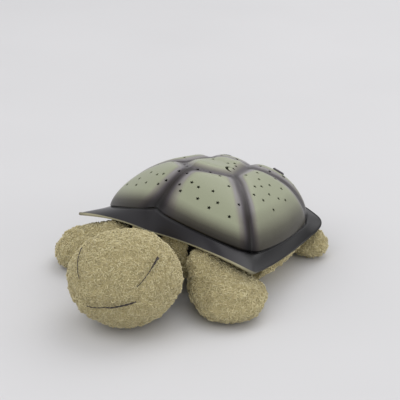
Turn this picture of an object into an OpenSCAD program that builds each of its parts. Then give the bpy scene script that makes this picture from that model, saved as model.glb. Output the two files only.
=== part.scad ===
// Plush turtle night light: a pierced dome shell over a tray of electronics, on a stuffed body.
// Frame: +Z up, -Y is the front (head), +X is the turtle's left. The origin is on the floor, below
// the middle of the whole turtle; shapes are drawn about the shell's middle and then moved back.

/* [Shell] */
// Place of the shell's middle behind the origin
shell_y = 56.5; // [50:0.5:60]
// Height of the dome's top
dome_top = 109; // [104:1:120]
// Place of the dome's top behind the middle
dome_top_y = 8; // [0:1:16]
// Angle of the seam's front corners from the front
front_corner = 55; // [50:1:58]
// Angle of the rim's front corners from the front
rim_front_corner = 51.8; // [48:0.1:56]
// Angle of the rear corners from the front
rear_corner = 129; // [125:1:133]
// Rim radius at the front, front corners, rear corners and rear
rim_r = [117, 153, 118, 124.2]; // [110:1:160]
// Rim height at the same four places
rim_z = [72, 51.5, 40, 32]; // [30:1:80]
// Outward bow of the rim's front, side and rear edges
rim_bow = [-2, -5, 2]; // [-6:1:8]
// Upward bow of the rim's front, side and rear edges
rim_lift = [3, -11.5, 2]; // [-12:0.5:8]
// Seam radius at the front, front corners, rear corners and rear
seam_r = [108, 122, 101, 96]; // [90:1:130]
// Seam height at the same four places
seam_z = [92, 56, 43, 42]; // [40:1:96]
// Outward bow of the seam's front, side and rear edges
seam_bow = [8, 7, 12]; // [2:1:14]
// Upward bow of the seam's front, side and rear edges
seam_lift = [2, -2, 0]; // [-4:1:4]
// Share of the dome that the top panel takes at the front, corners and rear
top_share = [0.48, 0.31, 0.30, 0.43]; // [0.26:0.01:0.52]
// How far the dome swells at the front, corners and rear, half way down
dome_swell = [16, 5, 0, -6]; // [-8:1:20]
// How far the front corners' grooves lean to the rear towards the top
groove_lean = 8; // [0:1:12]
// Depth of the grooves between the panels
groove_depth = 5; // [2:0.5:6]
// Half width of the grooves
groove_w = 9; // [6:0.5:12]
// Wall of the shell
wall = 2.2; // [1.8:0.1:2.6]
// Radius of the rolled lip on the rim
lip_r = 1.9; // [1.5:0.1:2.4]
// How far before the front, front corners, rear corners and rear the rim starts to round
rim_round = [10, 5, 18, 10]; // [2:1:24]
// Outer radius of a star hole
star_r = 2.4; // [1.4:0.1:2.6]

/* [Buttons] */
// Radius of a button's cap
button_r = 6.9; // [5:0.1:8]
// Gap between a cap and its hole
button_gap = 0.4; // [0.3:0.05:0.6]
// Travel of a button
button_travel = 1.2; // [0.8:0.1:1.6]

/* [Tray and lamp] */
// Height of the tray's underside
tray_z = 28.5; // [27:0.5:30]
// Thickness of the tray's floor
tray_t = 3; // [2:0.5:4]
// Height of the lamp post above the tray
post_h = 30; // [20:1:38]
// Radius of a lamp
led_r = 2.5; // [1.5:0.5:4]

/* [Battery box] */
// Radius of a cell
cell_r = 5.25; // [5.1:0.05:5.4]
// Length of a cell
cell_l = 44.5; // [43:0.5:46]
// Place of the box's middle behind the middle
box_y = 10; // [4:1:14]
// Radius of the door's hinge pin
pin_r = 1.2; // [1:0.1:1.5]
// Gap between the hinge pin and its bore
pin_gap = 0.06; // [0.03:0.01:0.1]

/* [Plush] */
// Width of the head
head_w = 116; // [108:1:122]
// Length of the head
head_l = 116; // [108:1:122]
// Height of the head
head_h = 96; // [88:1:102]
// Distance of the head's middle from the neck's upright axis
head_reach = 63; // [60:1:68]
// How far the head is turned to its left
head_turn = 21; // [0:1:25]
// Length of a front flipper from its hinge
front_flipper_l = 90; // [84:1:94]
// Width of a front flipper
front_flipper_w = 74; // [66:1:78]
// Length of a rear flipper from its hinge
rear_flipper_l = 50; // [46:1:54]
// Width of a rear flipper
rear_flipper_w = 44; // [40:1:48]
// Thickness of the flippers where they lie below the tray
flipper_t = 25; // [20:1:26]
// Thickness of the front flippers outside the tray
front_pad_t = 37; // [30:1:38]
// Thickness of the rear flippers outside the tray
rear_pad_t = 30; // [26:1:31]
// Thickness of the belly cloth
cloth_t = 1.2; // [0.8:0.1:1.6]

/* [Hidden] */
$fn = 48;
eps = 0.01;
gap = 0.4;

// Ring of the shell: six corners, so six panels round the top panel
corners = 6;
function corner_angles(front) = [0, front, rear_corner, 180, 360 - rear_corner, 360 - front, 360];
seam_a = corner_angles(front_corner);
rim_a = corner_angles(rim_front_corner);
kind = [0, 1, 2, 3, 2, 1, 0];
edge = [0, 1, 2, 2, 1, 0];
lean_share = [0, 1, 0, 0, 0, -1, 0];
panel_n = 8;
ring_n = corners * panel_n;
dome_n = 16;
brim_n = 3;
rise_in = 2.3;
rise_out = 1.7;
groove_mean = 0.6;

function lerp(a, b, t) = a * (1 - t) + b * t;
function polar(r, a) = [r * sin(a), -r * cos(a)];
function corner(r, a, i) = polar(r[kind[i]], a[i]);
function unit(v) = v / norm(v);

// A point on a bowed edge: i is the edge's number and t runs along it
function edge_point(r, a, z, bow, lift, i, t) =
    let (p = corner(r, a, i), q = corner(r, a, i + 1), d = unit(q - p), b = 4 * t * (1 - t),
        xy = lerp(p, q, t) + [d[1], -d[0]] * bow[edge[i]] * b)
    [xy[0], xy[1], lerp(z[kind[i]], z[kind[i + 1]], t) + lift[edge[i]] * b];
function seam_point(i, t) = edge_point(seam_r, seam_a, seam_z, seam_bow, seam_lift, i, t);
function rim_edge(i, t) = edge_point(rim_r, rim_a, rim_z, rim_bow, rim_lift, i, t);
function rim_span(i) = norm(corner(rim_r, rim_a, i + 1) - corner(rim_r, rim_a, i));
function bend(p, c, q, h) = pow(1 - h, 2) * p + 2 * h * (1 - h) * c + h * h * q;
// The rim's corner i, rounded: h runs from 0 before the corner to 1 after it
function rim_corner(i, h) =
    let (r = rim_round[kind[i]], before = (i + corners - 1) % corners, after = i % corners)
    bend(rim_edge(before, 1 - r / rim_span(before)), rim_edge(after, 0),
        rim_edge(after, r / rim_span(after)), h);
function rim_point(i, t) =
    let (a = rim_round[kind[i]] / rim_span(i), b = rim_round[kind[i + 1]] / rim_span(i))
    t < a ? rim_corner(i, 0.5 + t / a / 2)
        : t > 1 - b ? rim_corner(i + 1, 0.5 - (1 - t) / b / 2) : rim_edge(i, t);

// The dome: s runs from 0 at its top to 1 at the seam, and every panel is puffed between grooves
function dip(d) = 1 - exp(-pow(d / groove_w, 2));
function top_edge(i, t) =
    lerp(top_share[kind[i]], top_share[kind[i + 1]], t) * (1 - 0.2 * t * (1 - t));
function puff(i, t, s) =
    let (c = seam_point(i, t), span = norm(corner(seam_r, seam_a, i + 1) - corner(seam_r, seam_a, i)),
        to_side = s * span * min(t, 1 - t),
        to_top = (s - top_edge(i, t)) * norm([c[0], c[1] - dome_top_y]),
        outside = 1 / (1 + exp(-to_top / 2.5)))
    dip(to_top) * (outside * dip(to_side) + 1 - outside);
function turned(v, a) = [v[0] * cos(a) - v[1] * sin(a), v[0] * sin(a) + v[1] * cos(a)];
function lean(i, t) = groove_lean * lerp(lean_share[i], lean_share[i + 1], t);
function swell(i, t, s) =
    lerp(dome_swell[kind[i]], dome_swell[kind[i + 1]], t) * pow(max(sin(180 * s), 0), 1.5);
function dome_point(i, t, s) =
    let (c = seam_point(i, t), rise = pow(max(1 - pow(s, rise_in), 0), 1 / rise_out),
        flat = turned([s * c[0], s * c[1]], lean(i, t) * (1 - s)))
    [flat[0], dome_top_y * (1 - s) + flat[1], c[2] + (dome_top - c[2]) * rise + swell(i, t, s)
        + groove_depth * (puff(i, t, s) - groove_mean) * (1 - pow(s, 8))];

// The same skin by row k and ring place j; the rows go on over the brim to the rim
function wrapped(j) = (j + ring_n) % ring_n;
function panel_of(j) = floor(wrapped(j) / panel_n);
function along(j) = (1 - cos(180 * (wrapped(j) % panel_n) / panel_n)) / 2;
function skin_point(k, j) =
    let (i = panel_of(j), t = along(j))
    k <= dome_n ? dome_point(i, t, sin(90 * k / dome_n))
        : lerp(seam_point(i, t), rim_point(i, t), (k - dome_n) / brim_n);
last_row = dome_n + brim_n;
function outward(k, j) = k == 0 ? [0, 0, 1] :
    unit(cross(skin_point(min(k + 1, last_row), j) - skin_point(k - 1, j),
        skin_point(k, j + 1) - skin_point(k, j - 1)));
function skin_row(k, depth) = [for (j = [0 : ring_n - 1]) skin_point(k, j) - depth * outward(k, j)];

// The lip's bead turns from the outer face round to the inner face
lip_steps = [-60, 0, 60];
function lip_row(a) = [for (j = [0 : ring_n - 1])
    let (n = outward(last_row, j), p = skin_point(last_row, j),
        out = unit(p - skin_point(last_row - 1, j)))
    p - n * wall / 2 + lip_r * (out * cos(a) + n * sin(a))];

// A closed skin over rows of points, with one point at each end
module skin(first, rows, last) {
    n = len(rows[0]);
    m = len(rows);
    points = concat([first], [for (r = rows) each r], [last]);
    cap_a = [for (j = [0 : n - 1]) [0, 1 + j, 1 + (j + 1) % n]];
    cap_b = [for (j = [0 : n - 1])
        [1 + m * n, 1 + (m - 1) * n + (j + 1) % n, 1 + (m - 1) * n + j]];
    sides = [for (k = [0 : m - 2], j = [0 : n - 1])
        let (a = 1 + k * n + j, b = 1 + k * n + (j + 1) % n)
        each [[a, a + n, b], [b, a + n, b + n]]];
    polyhedron(points, concat(cap_a, sides, cap_b));
}

// A closed tube of radius r along a path of points
function across(d) = abs(d[2]) > 0.9 ? unit(cross(d, [1, 0, 0])) : unit(cross(d, [0, 0, 1]));
module tube(path, r, sides) {
    m = len(path);
    rows = [for (k = [0 : m - 1])
        let (d = unit(path[min(k + 1, m - 1)] - path[max(k - 1, 0)]), u = across(d),
            v = cross(d, u))
        [for (j = [0 : sides - 1])
            path[k] + r * (u * cos(360 * j / sides) + v * sin(360 * j / sides))]];
    skin(path[0], rows, path[m - 1]);
}

module placed() {
    translate([0, shell_y, 0]) children();
}
// Places children at a point with their z axis along the given direction
module aim(p, n) {
    translate(p) rotate([0, acos(n[2]), atan2(n[1], n[0])]) children();
}
function dome_normal(i, t, s) =
    let (d = 0.02)
    unit(cross(dome_point(i, t, s + d) - dome_point(i, t, s - d),
        dome_point(i, t + d, s) - dome_point(i, t - d, s)));
module mirrored_pair() {
    children();
    mirror([1, 0, 0]) children();
}

// Star holes as [share from the top, share along the panel], on the left half; the right mirrors it
front_stars = [[0.40, 0.38], [0.45, 0.14], [0.47, 0.62], [0.58, 0.08], [0.58, 0.78],
    [0.68, 0.25], [0.69, 0.56], [0.70, 0.36], [0.73, 0.11], [0.73, 0.90], [0.79, 0.17],
    [0.78, 0.64], [0.80, 0.40], [0.84, 0.55], [0.86, 0.78]];
side_stars = [[0.42, 0.30], [0.47, 0.66], [0.55, 0.50], [0.60, 0.28], [0.63, 0.42], [0.64, 0.86],
    [0.66, 0.60], [0.67, 0.18], [0.73, 0.46], [0.75, 0.30], [0.75, 0.76], [0.80, 0.58],
    [0.84, 0.68], [0.85, 0.40]];
rear_stars = [[0.46, 0.30], [0.50, 0.72], [0.55, 0.14], [0.60, 0.55], [0.80, 0.62], [0.84, 0.20],
    [0.86, 0.46], [0.72, 0.84]];
top_stars = [[0.10, 0.30], [0.16, 0.75], [0.22, 0.20], [0.20, 0.55]];
moon_place = [0.22, 0.95];

module star() {
    polygon([for (k = [0 : 9]) polar(k % 2 == 0 ? star_r : 0.5 * star_r, 36 * k)]);
}
module moon() {
    difference() {
        circle(2.2 * star_r, $fn = 24);
        translate([star_r, 0]) circle(1.8 * star_r, $fn = 24);
    }
}
module at_dome(i, place) {
    aim(dome_point(i, place[1], place[0]), dome_normal(i, place[1], place[0])) children();
}
hole_depth = 12;
module star_holes(i, places) {
    for (place = places)
        at_dome(i, place) linear_extrude(hole_depth, center = true) star();
}

// Buttons on the two rear panels: power on the left, colour on the right
button_place = [0.70, 0.40];
button_point = dome_point(2, button_place[1], button_place[0]);
button_dir = dome_normal(2, button_place[1], button_place[0]);
cap_top = 1.6;
flange_r = button_r + 1.6;
flange_t = 1.2;
flange_z = -(wall + 2.1);
stem_r = 2;
stem_end = -10.5;
switch_top = stem_end - button_travel - gap;
switch_h = 4.3;
switch_board_z = switch_top - switch_h;
switch_board = [30, 12, 1.4];
switch_post_x = 12;
echo(button_point = button_point + [0, shell_y, 0], button_dir = button_dir);

// Six posts in the shell take the tray's screws
tray_top = tray_z + tray_t;
boss_share = 0.78;
boss_r = 4.2;
screw_r = 1.4;
pilot_r = 1.35;
function boss_xy(i) = let (p = dome_point(i % corners, 0, boss_share)) [p[0], p[1]];
function boss_top(i) = dome_point(i % corners, 0, boss_share)[2] - wall;
module at_bosses() {
    for (i = [0 : corners - 1])
        translate([boss_xy(i)[0], boss_xy(i)[1], 0]) children();
}

module pierced_skin() {
    difference() {
        skin([0, dome_top_y, skin_point(0, 0)[2] - wall],
            concat([for (k = [2 : 2 : dome_n]) skin_row(k, wall)],
                [for (k = [dome_n + 1 : last_row]) skin_row(k, wall)],
                [for (a = lip_steps) lip_row(a)],
                [for (k = [last_row : -1 : 1]) skin_row(k, 0)]),
            [0, dome_top_y, skin_point(0, 0)[2]]);
        mirrored_pair() {
            star_holes(0, front_stars);
            star_holes(1, side_stars);
            star_holes(2, rear_stars);
            star_holes(1, top_stars);
            aim(button_point, button_dir)
                cylinder(r = button_r + button_gap, h = hole_depth, center = true, $fn = 36);
        }
        at_dome(0, moon_place) linear_extrude(hole_depth, center = true) moon();
    }
}

module shell() {
    placed() color([0.50, 0.51, 0.43]) {
        resize([0, 0, 0]) pierced_skin();
        for (i = [0 : corners - 1])
            translate([boss_xy(i)[0], boss_xy(i)[1], tray_top + gap])
                difference() {
                    cylinder(r = boss_r, h = boss_top(i) - tray_top - gap + wall / 2);
                    translate([0, 0, -eps]) cylinder(r = pilot_r, h = 11);
                }
        mirrored_pair()
            aim(button_point, button_dir)
                for (side = [-1, 1])
                    translate([0, side * switch_post_x, switch_board_z])
                        cylinder(r = 2.2, h = -switch_board_z - wall / 2);
    }
}

// The tray's outline is the seam's, drawn in; its wall stands up to just under the dome
tray_share = 0.92;
tray_wall = 2.4;
tray_clear = 5.4;
function ring_outline(share) = [for (j = [0 : ring_n - 1])
    let (p = dome_point(panel_of(j), along(j), share)) [p[0], p[1]]];
function ring_line(share, z) = [for (p = ring_outline(share)) [p[0], p[1], z]];
function roof_line(share) = [for (j = [0 : ring_n - 1])
    let (p = dome_point(panel_of(j), along(j), share))
    [p[0], p[1], p[2] - wall - tray_clear]];
inner_share = tray_share - tray_wall / seam_r[0];
module tray_rim() {
    n = ring_n;
    rows = [ring_line(tray_share, tray_z), roof_line(tray_share), roof_line(inner_share),
        ring_line(inner_share, tray_z)];
    faces = [for (k = [0 : 3], j = [0 : n - 1])
        let (a = k * n + j, b = k * n + (j + 1) % n, c = ((k + 1) % 4) * n + j,
            d = ((k + 1) % 4) * n + (j + 1) % n)
        each [[a, c, b], [b, c, d]]];
    polyhedron([for (r = rows) each r], faces);
}
board_post_h = 4;
main_board_size = [56, 34, 1.6];
main_board_y = -58;
module at_board_corners() {
    for (x = [-1, 1], y = [-1, 1])
        translate([x * (main_board_size[0] / 2 - 4),
            main_board_y + y * (main_board_size[1] / 2 - 4), 0]) children();
}
box_screw_x = 21.5;
module at_box_screws() {
    for (x = [-1, 1]) translate([x * box_screw_x, box_y, 0]) children();
}

module base_tray() {
    placed() color("dimgray") difference() {
        union() {
            translate([0, 0, tray_z])
                linear_extrude(tray_t) polygon(ring_outline(tray_share - tray_wall / 2 / seam_r[0]));
            tray_rim();
            at_board_corners()
                translate([0, 0, tray_top - eps]) cylinder(r = 3, h = board_post_h + eps);
            at_box_screws()
                translate([0, 0, tray_top - eps]) cylinder(r = 3.4, h = 2);
        }
        at_bosses() translate([0, 0, tray_z - eps]) {
            cylinder(r = screw_r + 0.2, h = tray_t + 2 * eps);
            cylinder(r = 3.1, h = 1.6);
        }
        at_board_corners() translate([0, 0, tray_top + 1]) cylinder(r = pilot_r, h = 8);
        at_box_screws() translate([0, 0, tray_z - eps]) cylinder(r = screw_r + 0.1, h = 8);
        translate([wire_hole[0], wire_hole[1], tray_z - eps]) cylinder(r = 3, h = tray_t + 1);
    }
}
wire_hole = [12, -26];

// The lamp post and the three point lamps on it
post_y = dome_top_y;
post_top = tray_top + post_h;
post_r = 15;
lamp_board_t = 1.6;
module lamp_post() {
    placed() color("white") translate([0, post_y, tray_top]) difference() {
        union() {
            cylinder(r = post_r + 2, h = 3);
            cylinder(r = post_r, h = post_h);
        }
        translate([0, 0, -eps]) cylinder(r = post_r - 2.4, h = post_h - 3);
        translate([0, 0, post_h - 5]) cylinder(r = 3, h = 6);
        for (a = [30, 150, 270])
            rotate(a) translate([10.5, 0, post_h - 3.5]) cylinder(r = 1, h = 4);
        translate([0, -post_r, 8]) rotate([90, 0, 0]) cylinder(r = 3, h = 8, center = true);
    }
}
module led_board() {
    placed() color("darkgreen") translate([0, post_y, post_top]) difference() {
        cylinder(r = post_r - 0.5, h = lamp_board_t);
        for (a = [30, 150, 270])
            rotate(a) translate([10.5, 0, -1]) cylinder(r = 1.2, h = 4);
    }
}
led_ring = 6;
led_h = 8.6;
module led(angle) {
    translate([0, post_y, post_top + lamp_board_t])
        rotate(angle) translate([led_ring, 0, 0]) {
            cylinder(r = led_r + 0.4, h = 1);
            cylinder(r = led_r, h = led_h - led_r);
            translate([0, 0, led_h - led_r]) sphere(led_r);
        }
}
module led_blue() { placed() color("lightblue") led(90); }
module led_green() { placed() color("lightgreen") led(210); }
module led_amber() { placed() color("orange") led(330); }

// The control board with its chip and small parts
board_z = tray_top + board_post_h;
module main_board() {
    placed() color("darkgreen") difference() {
        translate([-main_board_size[0] / 2, main_board_y - main_board_size[1] / 2, board_z])
            cube(main_board_size);
        at_board_corners() translate([0, 0, board_z - 1]) cylinder(r = 1.5, h = 4);
    }
}
module control_chip() {
    placed() color("black") translate([-5, main_board_y - 4, board_z + main_board_size[2]]) {
        translate([0, 0.8, 0.3]) cube([10, 6.4, 1.6]);
        for (k = [0 : 6], y = [0, 7.2])
            translate([0.7 + k * 1.3, y - 0.2, 0]) cube([0.5, 1.2, 0.9]);
    }
}
module board_parts() {
    top = board_z + main_board_size[2];
    placed() color("sienna") {
        for (k = [0 : 4])
            translate([-18 + 7 * k, main_board_y - 12, top]) cube([3, 1.6, 0.8]);
        for (k = [0 : 2])
            translate([12 + 4 * k, main_board_y + 2, top]) cube([1.6, 3, 0.8]);
        translate([-16, main_board_y + 4, top]) cylinder(r = 3, h = 7);
    }
}

// Buttons, and the switches that they press
module switch_boards() {
    placed() color("darkgreen") mirrored_pair() aim(button_point, button_dir)
        translate([-switch_board[1] / 2, -switch_board[0] / 2, switch_board_z - switch_board[2]])
            cube([switch_board[1], switch_board[0], switch_board[2]]);
}
module tact_switches() {
    body_h = 3.2;
    placed() color("dimgray") mirrored_pair() aim(button_point, button_dir)
        translate([0, 0, switch_board_z]) {
            translate([-3, -3, 0]) cube([6, 6, body_h]);
            translate([0, 0, body_h - eps]) cylinder(r = 1.75, h = switch_h - body_h + eps);
        }
}
module button() {
    crown = 1;
    rotate_extrude() polygon([[0, stem_end], [stem_r, stem_end], [stem_r, flange_z - flange_t],
        [flange_r, flange_z - flange_t], [flange_r, flange_z], [button_r, flange_z],
        [button_r, cap_top - crown], [button_r - crown, cap_top], [0, cap_top]]);
}
module power_button() { placed() color("dimgray") aim(button_point, button_dir) button(); }
module colour_button() {
    placed() color("dimgray") mirror([1, 0, 0]) aim(button_point, button_dir) button();
}

// The battery box hangs under the tray; its door is hinged at the rear end
cell_pitch = 2 * cell_r + 0.8;
box_wall = 1.6;
box_in = [3 * cell_pitch + 0.4, cell_l + 7.2];
box_out = box_in + [2 * box_wall, 2 * box_wall];
box_z = tray_z - gap / 2;
box_h = 2 * cell_r + 0.8 + box_wall;
door_top = box_z - box_h;
door_t = 2;
hinge_y = box_y + box_out[1] / 2 + 3.6;
hinge_z = door_top - door_t / 2;
barrel_r = 2.3;
lug_x = box_out[0] / 2 + 0.4;
lug_t = 3;
lock_y = box_y - box_out[1] / 2 - 4.5;
echo(hinge_y = hinge_y + shell_y, hinge_z = hinge_z, lock_y = lock_y + shell_y);
module battery_box() {
    placed() color("whitesmoke") difference() {
        union() {
            translate([-box_out[0] / 2, box_y - box_out[1] / 2, door_top + gap])
                cube([box_out[0], box_out[1], box_h - gap]);
            translate([-5, lock_y - 4.5, door_top + gap]) cube([10, 10, box_h - gap]);
            at_box_screws() translate([0, 0, box_z - 9]) cylinder(r = 3.4, h = 9);
            for (side = [-1, 1])
                translate([side * (lug_x + lug_t / 2) - lug_t / 2, 0, 0]) {
                    translate([0, hinge_y, hinge_z]) rotate([0, 90, 0])
                        cylinder(r = barrel_r + 0.6, h = lug_t);
                    translate([0, hinge_y - barrel_r - 0.6, hinge_z])
                        cube([lug_t, 2 * barrel_r + 1.2, box_z - hinge_z]);
                }
            translate([-lug_x - lug_t, box_y + box_out[1] / 2 - 1, box_z - 2.4])
                cube([2 * lug_x + 2 * lug_t, hinge_y + barrel_r + 0.6
                    - box_y - box_out[1] / 2 + 1, 2.4]);
        }
        translate([-box_in[0] / 2, box_y - box_in[1] / 2, door_top - 1])
            cube([box_in[0], box_in[1], box_h + 1 - box_wall]);
        translate([0, hinge_y, hinge_z]) rotate([0, 90, 0])
            cylinder(r = pin_r + pin_gap, h = 80, center = true);
        at_box_screws() translate([0, 0, box_z - 8]) cylinder(r = pilot_r, h = 9);
        translate([0, lock_y, door_top]) cylinder(r = lock_hole_r, h = 5);
    }
}
cell_z = box_z - box_wall - 0.3 - cell_r;
cell_back = box_y + box_in[1] / 2 - 1.2 - 1;
module cell(k, flip) {
    nub = 1;
    translate([k * cell_pitch, cell_back - cell_l / 2, cell_z]) rotate([flip ? 90 : -90, 0, 0])
        translate([0, 0, -cell_l / 2]) {
            cylinder(r = cell_r, h = cell_l - nub);
            translate([0, 0, cell_l - nub]) cylinder(r = 1.8, h = nub);
        }
}
module cell_1() { placed() color("goldenrod") cell(-1, false); }
module cell_2() { placed() color("goldenrod") cell(0, false); }
module cell_3() { placed() color("goldenrod") cell(1, false); }
spring_y = cell_back - cell_l;
spring_base = box_y - box_in[1] / 2 + 0.6;
module contact_springs() {
    turns = 4;
    steps = 9;
    wire = 0.35;
    length = spring_y - spring_base - 3 * wire;
    placed() color("silver") for (k = [-1 : 1])
        tube([for (n = [0 : turns * steps])
            let (u = n / (turns * steps), r = lerp(3.6, 2.2, u), a = 360 * n / steps)
            [k * cell_pitch + r * cos(a), spring_base + 1.2 * wire + u * length,
                cell_z + r * sin(a)]], wire, 6);
}
module contact_plates() {
    size = [8, 0.5, 8];
    placed() color("silver") for (k = [-1 : 1]) {
        translate([k * cell_pitch - size[0] / 2, spring_base - size[1], cell_z - size[2] / 2])
            cube(size);
        translate([k * cell_pitch - size[0] / 2, cell_back + 0.2, cell_z - size[2] / 2])
            cube(size);
    }
}
lock_r = 1.45;
lock_hole_r = 1.95;
lock_head_r = 3;
lock_head_h = 1.5;
door_pad = 1.4;
module battery_door() {
    placed() color("whitesmoke") difference() {
        union() {
            translate([-box_out[0] / 2, lock_y - 5, door_top - door_t])
                cube([box_out[0], hinge_y - lock_y + 5, door_t]);
            translate([-6, lock_y - 5, door_top - door_t - door_pad]) cube([12, 10, door_pad + eps]);
            translate([0, hinge_y, hinge_z]) rotate([0, 90, 0]) {
                cylinder(r = barrel_r, h = box_out[0], center = true);
                cylinder(r = pin_r, h = 2 * (lug_x + lug_t), center = true);
            }
        }
        translate([0, lock_y, door_top - 8]) cylinder(r = lock_r + 0.06, h = 10);
        translate([0, lock_y, door_top - door_t - door_pad - eps])
            cylinder(r = lock_head_r + 0.3, h = lock_head_h + 0.3);
    }
}
module door_screw() {
    base = door_top - door_t - door_pad + 0.2;
    placed() color("silver") translate([0, lock_y, base]) difference() {
        union() {
            cylinder(r = lock_head_r, h = lock_head_h);
            cylinder(r = lock_r, h = door_top - base + 3);
        }
        for (a = [0, 90])
            rotate(a) translate([-2, -0.4, -eps]) cube([4, 0.8, 0.8]);
    }
}

// Screws, as groups of like pieces
module pan_screw(r, head_r, head_h, length) {
    cylinder(r = head_r, h = head_h);
    cylinder(r = r, h = length);
}
module shell_screws() {
    placed() color("silver") at_bosses()
        translate([0, 0, tray_z + 0.1]) pan_screw(pilot_r - 0.02, 2.8, 1.4, 11);
}
module board_screws() {
    placed() color("silver") {
        at_board_corners()
            translate([0, 0, board_z + main_board_size[2] + 1.2]) mirror([0, 0, 1])
                pan_screw(pilot_r - 0.02, 2.6, 1.2, 5.6);
        at_box_screws()
            translate([0, 0, tray_top + 2 + 1.2]) mirror([0, 0, 1])
                pan_screw(pilot_r - 0.02, 2.6, 1.2, 12);
        for (a = [30, 150, 270])
            translate([0, post_y, post_top + lamp_board_t]) rotate(a) translate([10.5, 0, -3.5])
                cylinder(r = 0.95, h = 3.5);
    }
}

// Inner wires run from board to board in short bends
wire_r = 0.7;
module wire(path) { tube(path, wire_r, 6); }
module lamp_wires() {
    placed() color("red") for (x = [-2, 2])
        wire([[x, main_board_y + 12, board_z + 2.4], [x, main_board_y + 13, board_z + 5],
            [x, main_board_y + 18, board_z + 7], [x, post_y - 30, board_z + 6],
            [x, post_y - 24, tray_top + 8], [x, post_y - 8, tray_top + 8],
            [x, post_y - 3, tray_top + 12], [x / 2, post_y, post_top - 8],
            [x / 2, post_y, post_top - 0.2]]);
}
module battery_wires() {
    placed() color("black") for (x = [-1, 1])
        wire([[wire_hole[0] + x, box_y - box_out[1] / 2 - 2.4, tray_z - 4],
            [wire_hole[0] + x, wire_hole[1] - 1, tray_z - 1],
            [wire_hole[0] + x, wire_hole[1], tray_top + 3],
            [wire_hole[0] + x, wire_hole[1] - 4, board_z + 5],
            [wire_hole[0] + x, main_board_y + 14, board_z + 4.4],
            [wire_hole[0] + x, main_board_y + 11, board_z + 2.4]]);
}
module switch_wires() {
    start = button_point + button_dir * (switch_board_z - switch_board[2] - 1);
    placed() color("gray") mirrored_pair()
        wire([start, start + [0, -2, -8], [start[0] + 8, start[1] - 16, tray_top + 12],
            [60, 0, tray_top + 3], [56, -30, tray_top + 3], [40, -52, tray_top + 6],
            [31, main_board_y, board_z + 4.4], [27, main_board_y, board_z + 4.2],
            [25, main_board_y, board_z + 2.4]]);
}

// Hinges of the soft parts: the axis of each stands upright at the seam
front_hinge = [55, -68];
front_flipper_a = 50;
front_root_r = 21;
rear_hinge = [52, 58];
rear_flipper_a = 110;
rear_root_r = 16;
soft_gap = 0.6;
room_h = dome_top;
front_swing = [-6, 12];
rear_swing = [-12, 12];
// A front flipper's shoulder stands under the brim, at these shares of its length and width
shoulder = [0.22 * front_flipper_l, -0.31 * front_flipper_w];
shoulder_r = 14;
shoulder_edge = 7;
// Its rear corner fills the room behind the brim's corner
elbow = [0.49 * front_flipper_l, 0.34 * front_flipper_w];
elbow_r = 17;
shoulder_top = rim_point(0, 0.45)[2] - lip_r - 4;

// Neck: an upright roll that the head turns on, in front of the seam
neck_y = -seam_r[0] - 11;
neck_r = 18;
neck_bottom = 8;
neck_top = 62;
module neck() {
    placed() color("tan")
        translate([0, neck_y, neck_bottom]) cylinder(r = neck_r, h = neck_top - neck_bottom);
}
module neck_room() {
    translate([0, neck_y, -1]) cylinder(r = neck_r + soft_gap, h = room_h);
}

// Tail: a short cone below the rear rim
tail_share = 0.86;
tail_root = lerp(dome_top_y, seam_r[3], tail_share);
tail_root_r = 11;
tail_z = 13;
tail_l = 30;
tail_tip_r = 6;
module tail() {
    placed() color("tan") translate([0, tail_root, 0]) hull() {
        translate([0, 0, tail_z]) rotate([-90, 0, 0]) cylinder(r = tail_root_r, h = 4, $fn = 24);
        translate([0, tail_l, tail_tip_r + 2]) sphere(tail_tip_r, $fn = 20);
    }
}
module tail_room() {
    translate([0, tail_root - soft_gap, tail_z])
        rotate([-90, 0, 0]) cylinder(r = tail_root_r + soft_gap, h = room_h);
}

// Body: a bowl of the seam's outline below the tray, whose wall rises round the tray to the brim
body_top = tray_z - gap;
body_bottom = cloth_t;
body_rows = [[0.66, body_bottom], [0.72, 5], [0.80, 10], [0.88, 15], [0.955, 20], [0.99, 25]];
collar_share = [0.975, 0.945];
collar_drop = 10;
function collar_line(share) = [for (j = [0 : ring_n - 1])
    let (p = dome_point(panel_of(j), along(j), share), c = seam_point(panel_of(j), along(j)))
    [p[0], p[1], c[2] - collar_drop]];
module body_bowl() {
    skin([0, 0, body_bottom],
        concat([for (row = body_rows) ring_line(row[0], row[1])],
            [for (share = collar_share) collar_line(share)], [ring_line(collar_share[1], body_top)]),
        [0, 0, body_top]);
}
well_x = 26;
well_front = 8;
well_rear = 7;
well = [[-well_x, lock_y - well_front], [well_x, hinge_y + well_rear]];
binding_w = 2.4;
module well_block(grow, z, h) {
    translate([well[0][0] - grow, well[0][1] - grow, z])
        cube([well[1][0] - well[0][0] + 2 * grow, well[1][1] - well[0][1] + 2 * grow, h]);
}
// The room that a flipper sweeps between the two ends of its swing: discs are [x, y, radius]
module swing_room(hinge, angle, swing, root_r, discs) {
    translate([hinge[0], hinge[1], -1]) rotate(angle - 90) hull() {
        cylinder(r = root_r + soft_gap, h = room_h);
        for (turn = swing, disc = discs)
            rotate(turn) translate([disc[0], disc[1], 0])
                cylinder(r = disc[2] + soft_gap, h = room_h, $fn = 32);
    }
}
front_pad = [front_flipper_l - front_flipper_w / 2, 0, front_flipper_w / 2];
rear_pad = [rear_flipper_l - rear_flipper_w / 2, 0, rear_flipper_w / 2];
module flipper_rooms() {
    mirrored_pair() {
        swing_room(front_hinge, front_flipper_a, front_swing, front_root_r,
            [front_pad, [shoulder[0], shoulder[1], shoulder_r], [elbow[0], elbow[1], elbow_r]]);
        swing_room(rear_hinge, rear_flipper_a, rear_swing, rear_root_r, [rear_pad]);
    }
}
module body() {
    placed() color("tan") difference() {
        body_bowl();
        well_block(0, -1, body_top + 2);
        flipper_rooms();
        neck_room();
        tail_room();
    }
}
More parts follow.
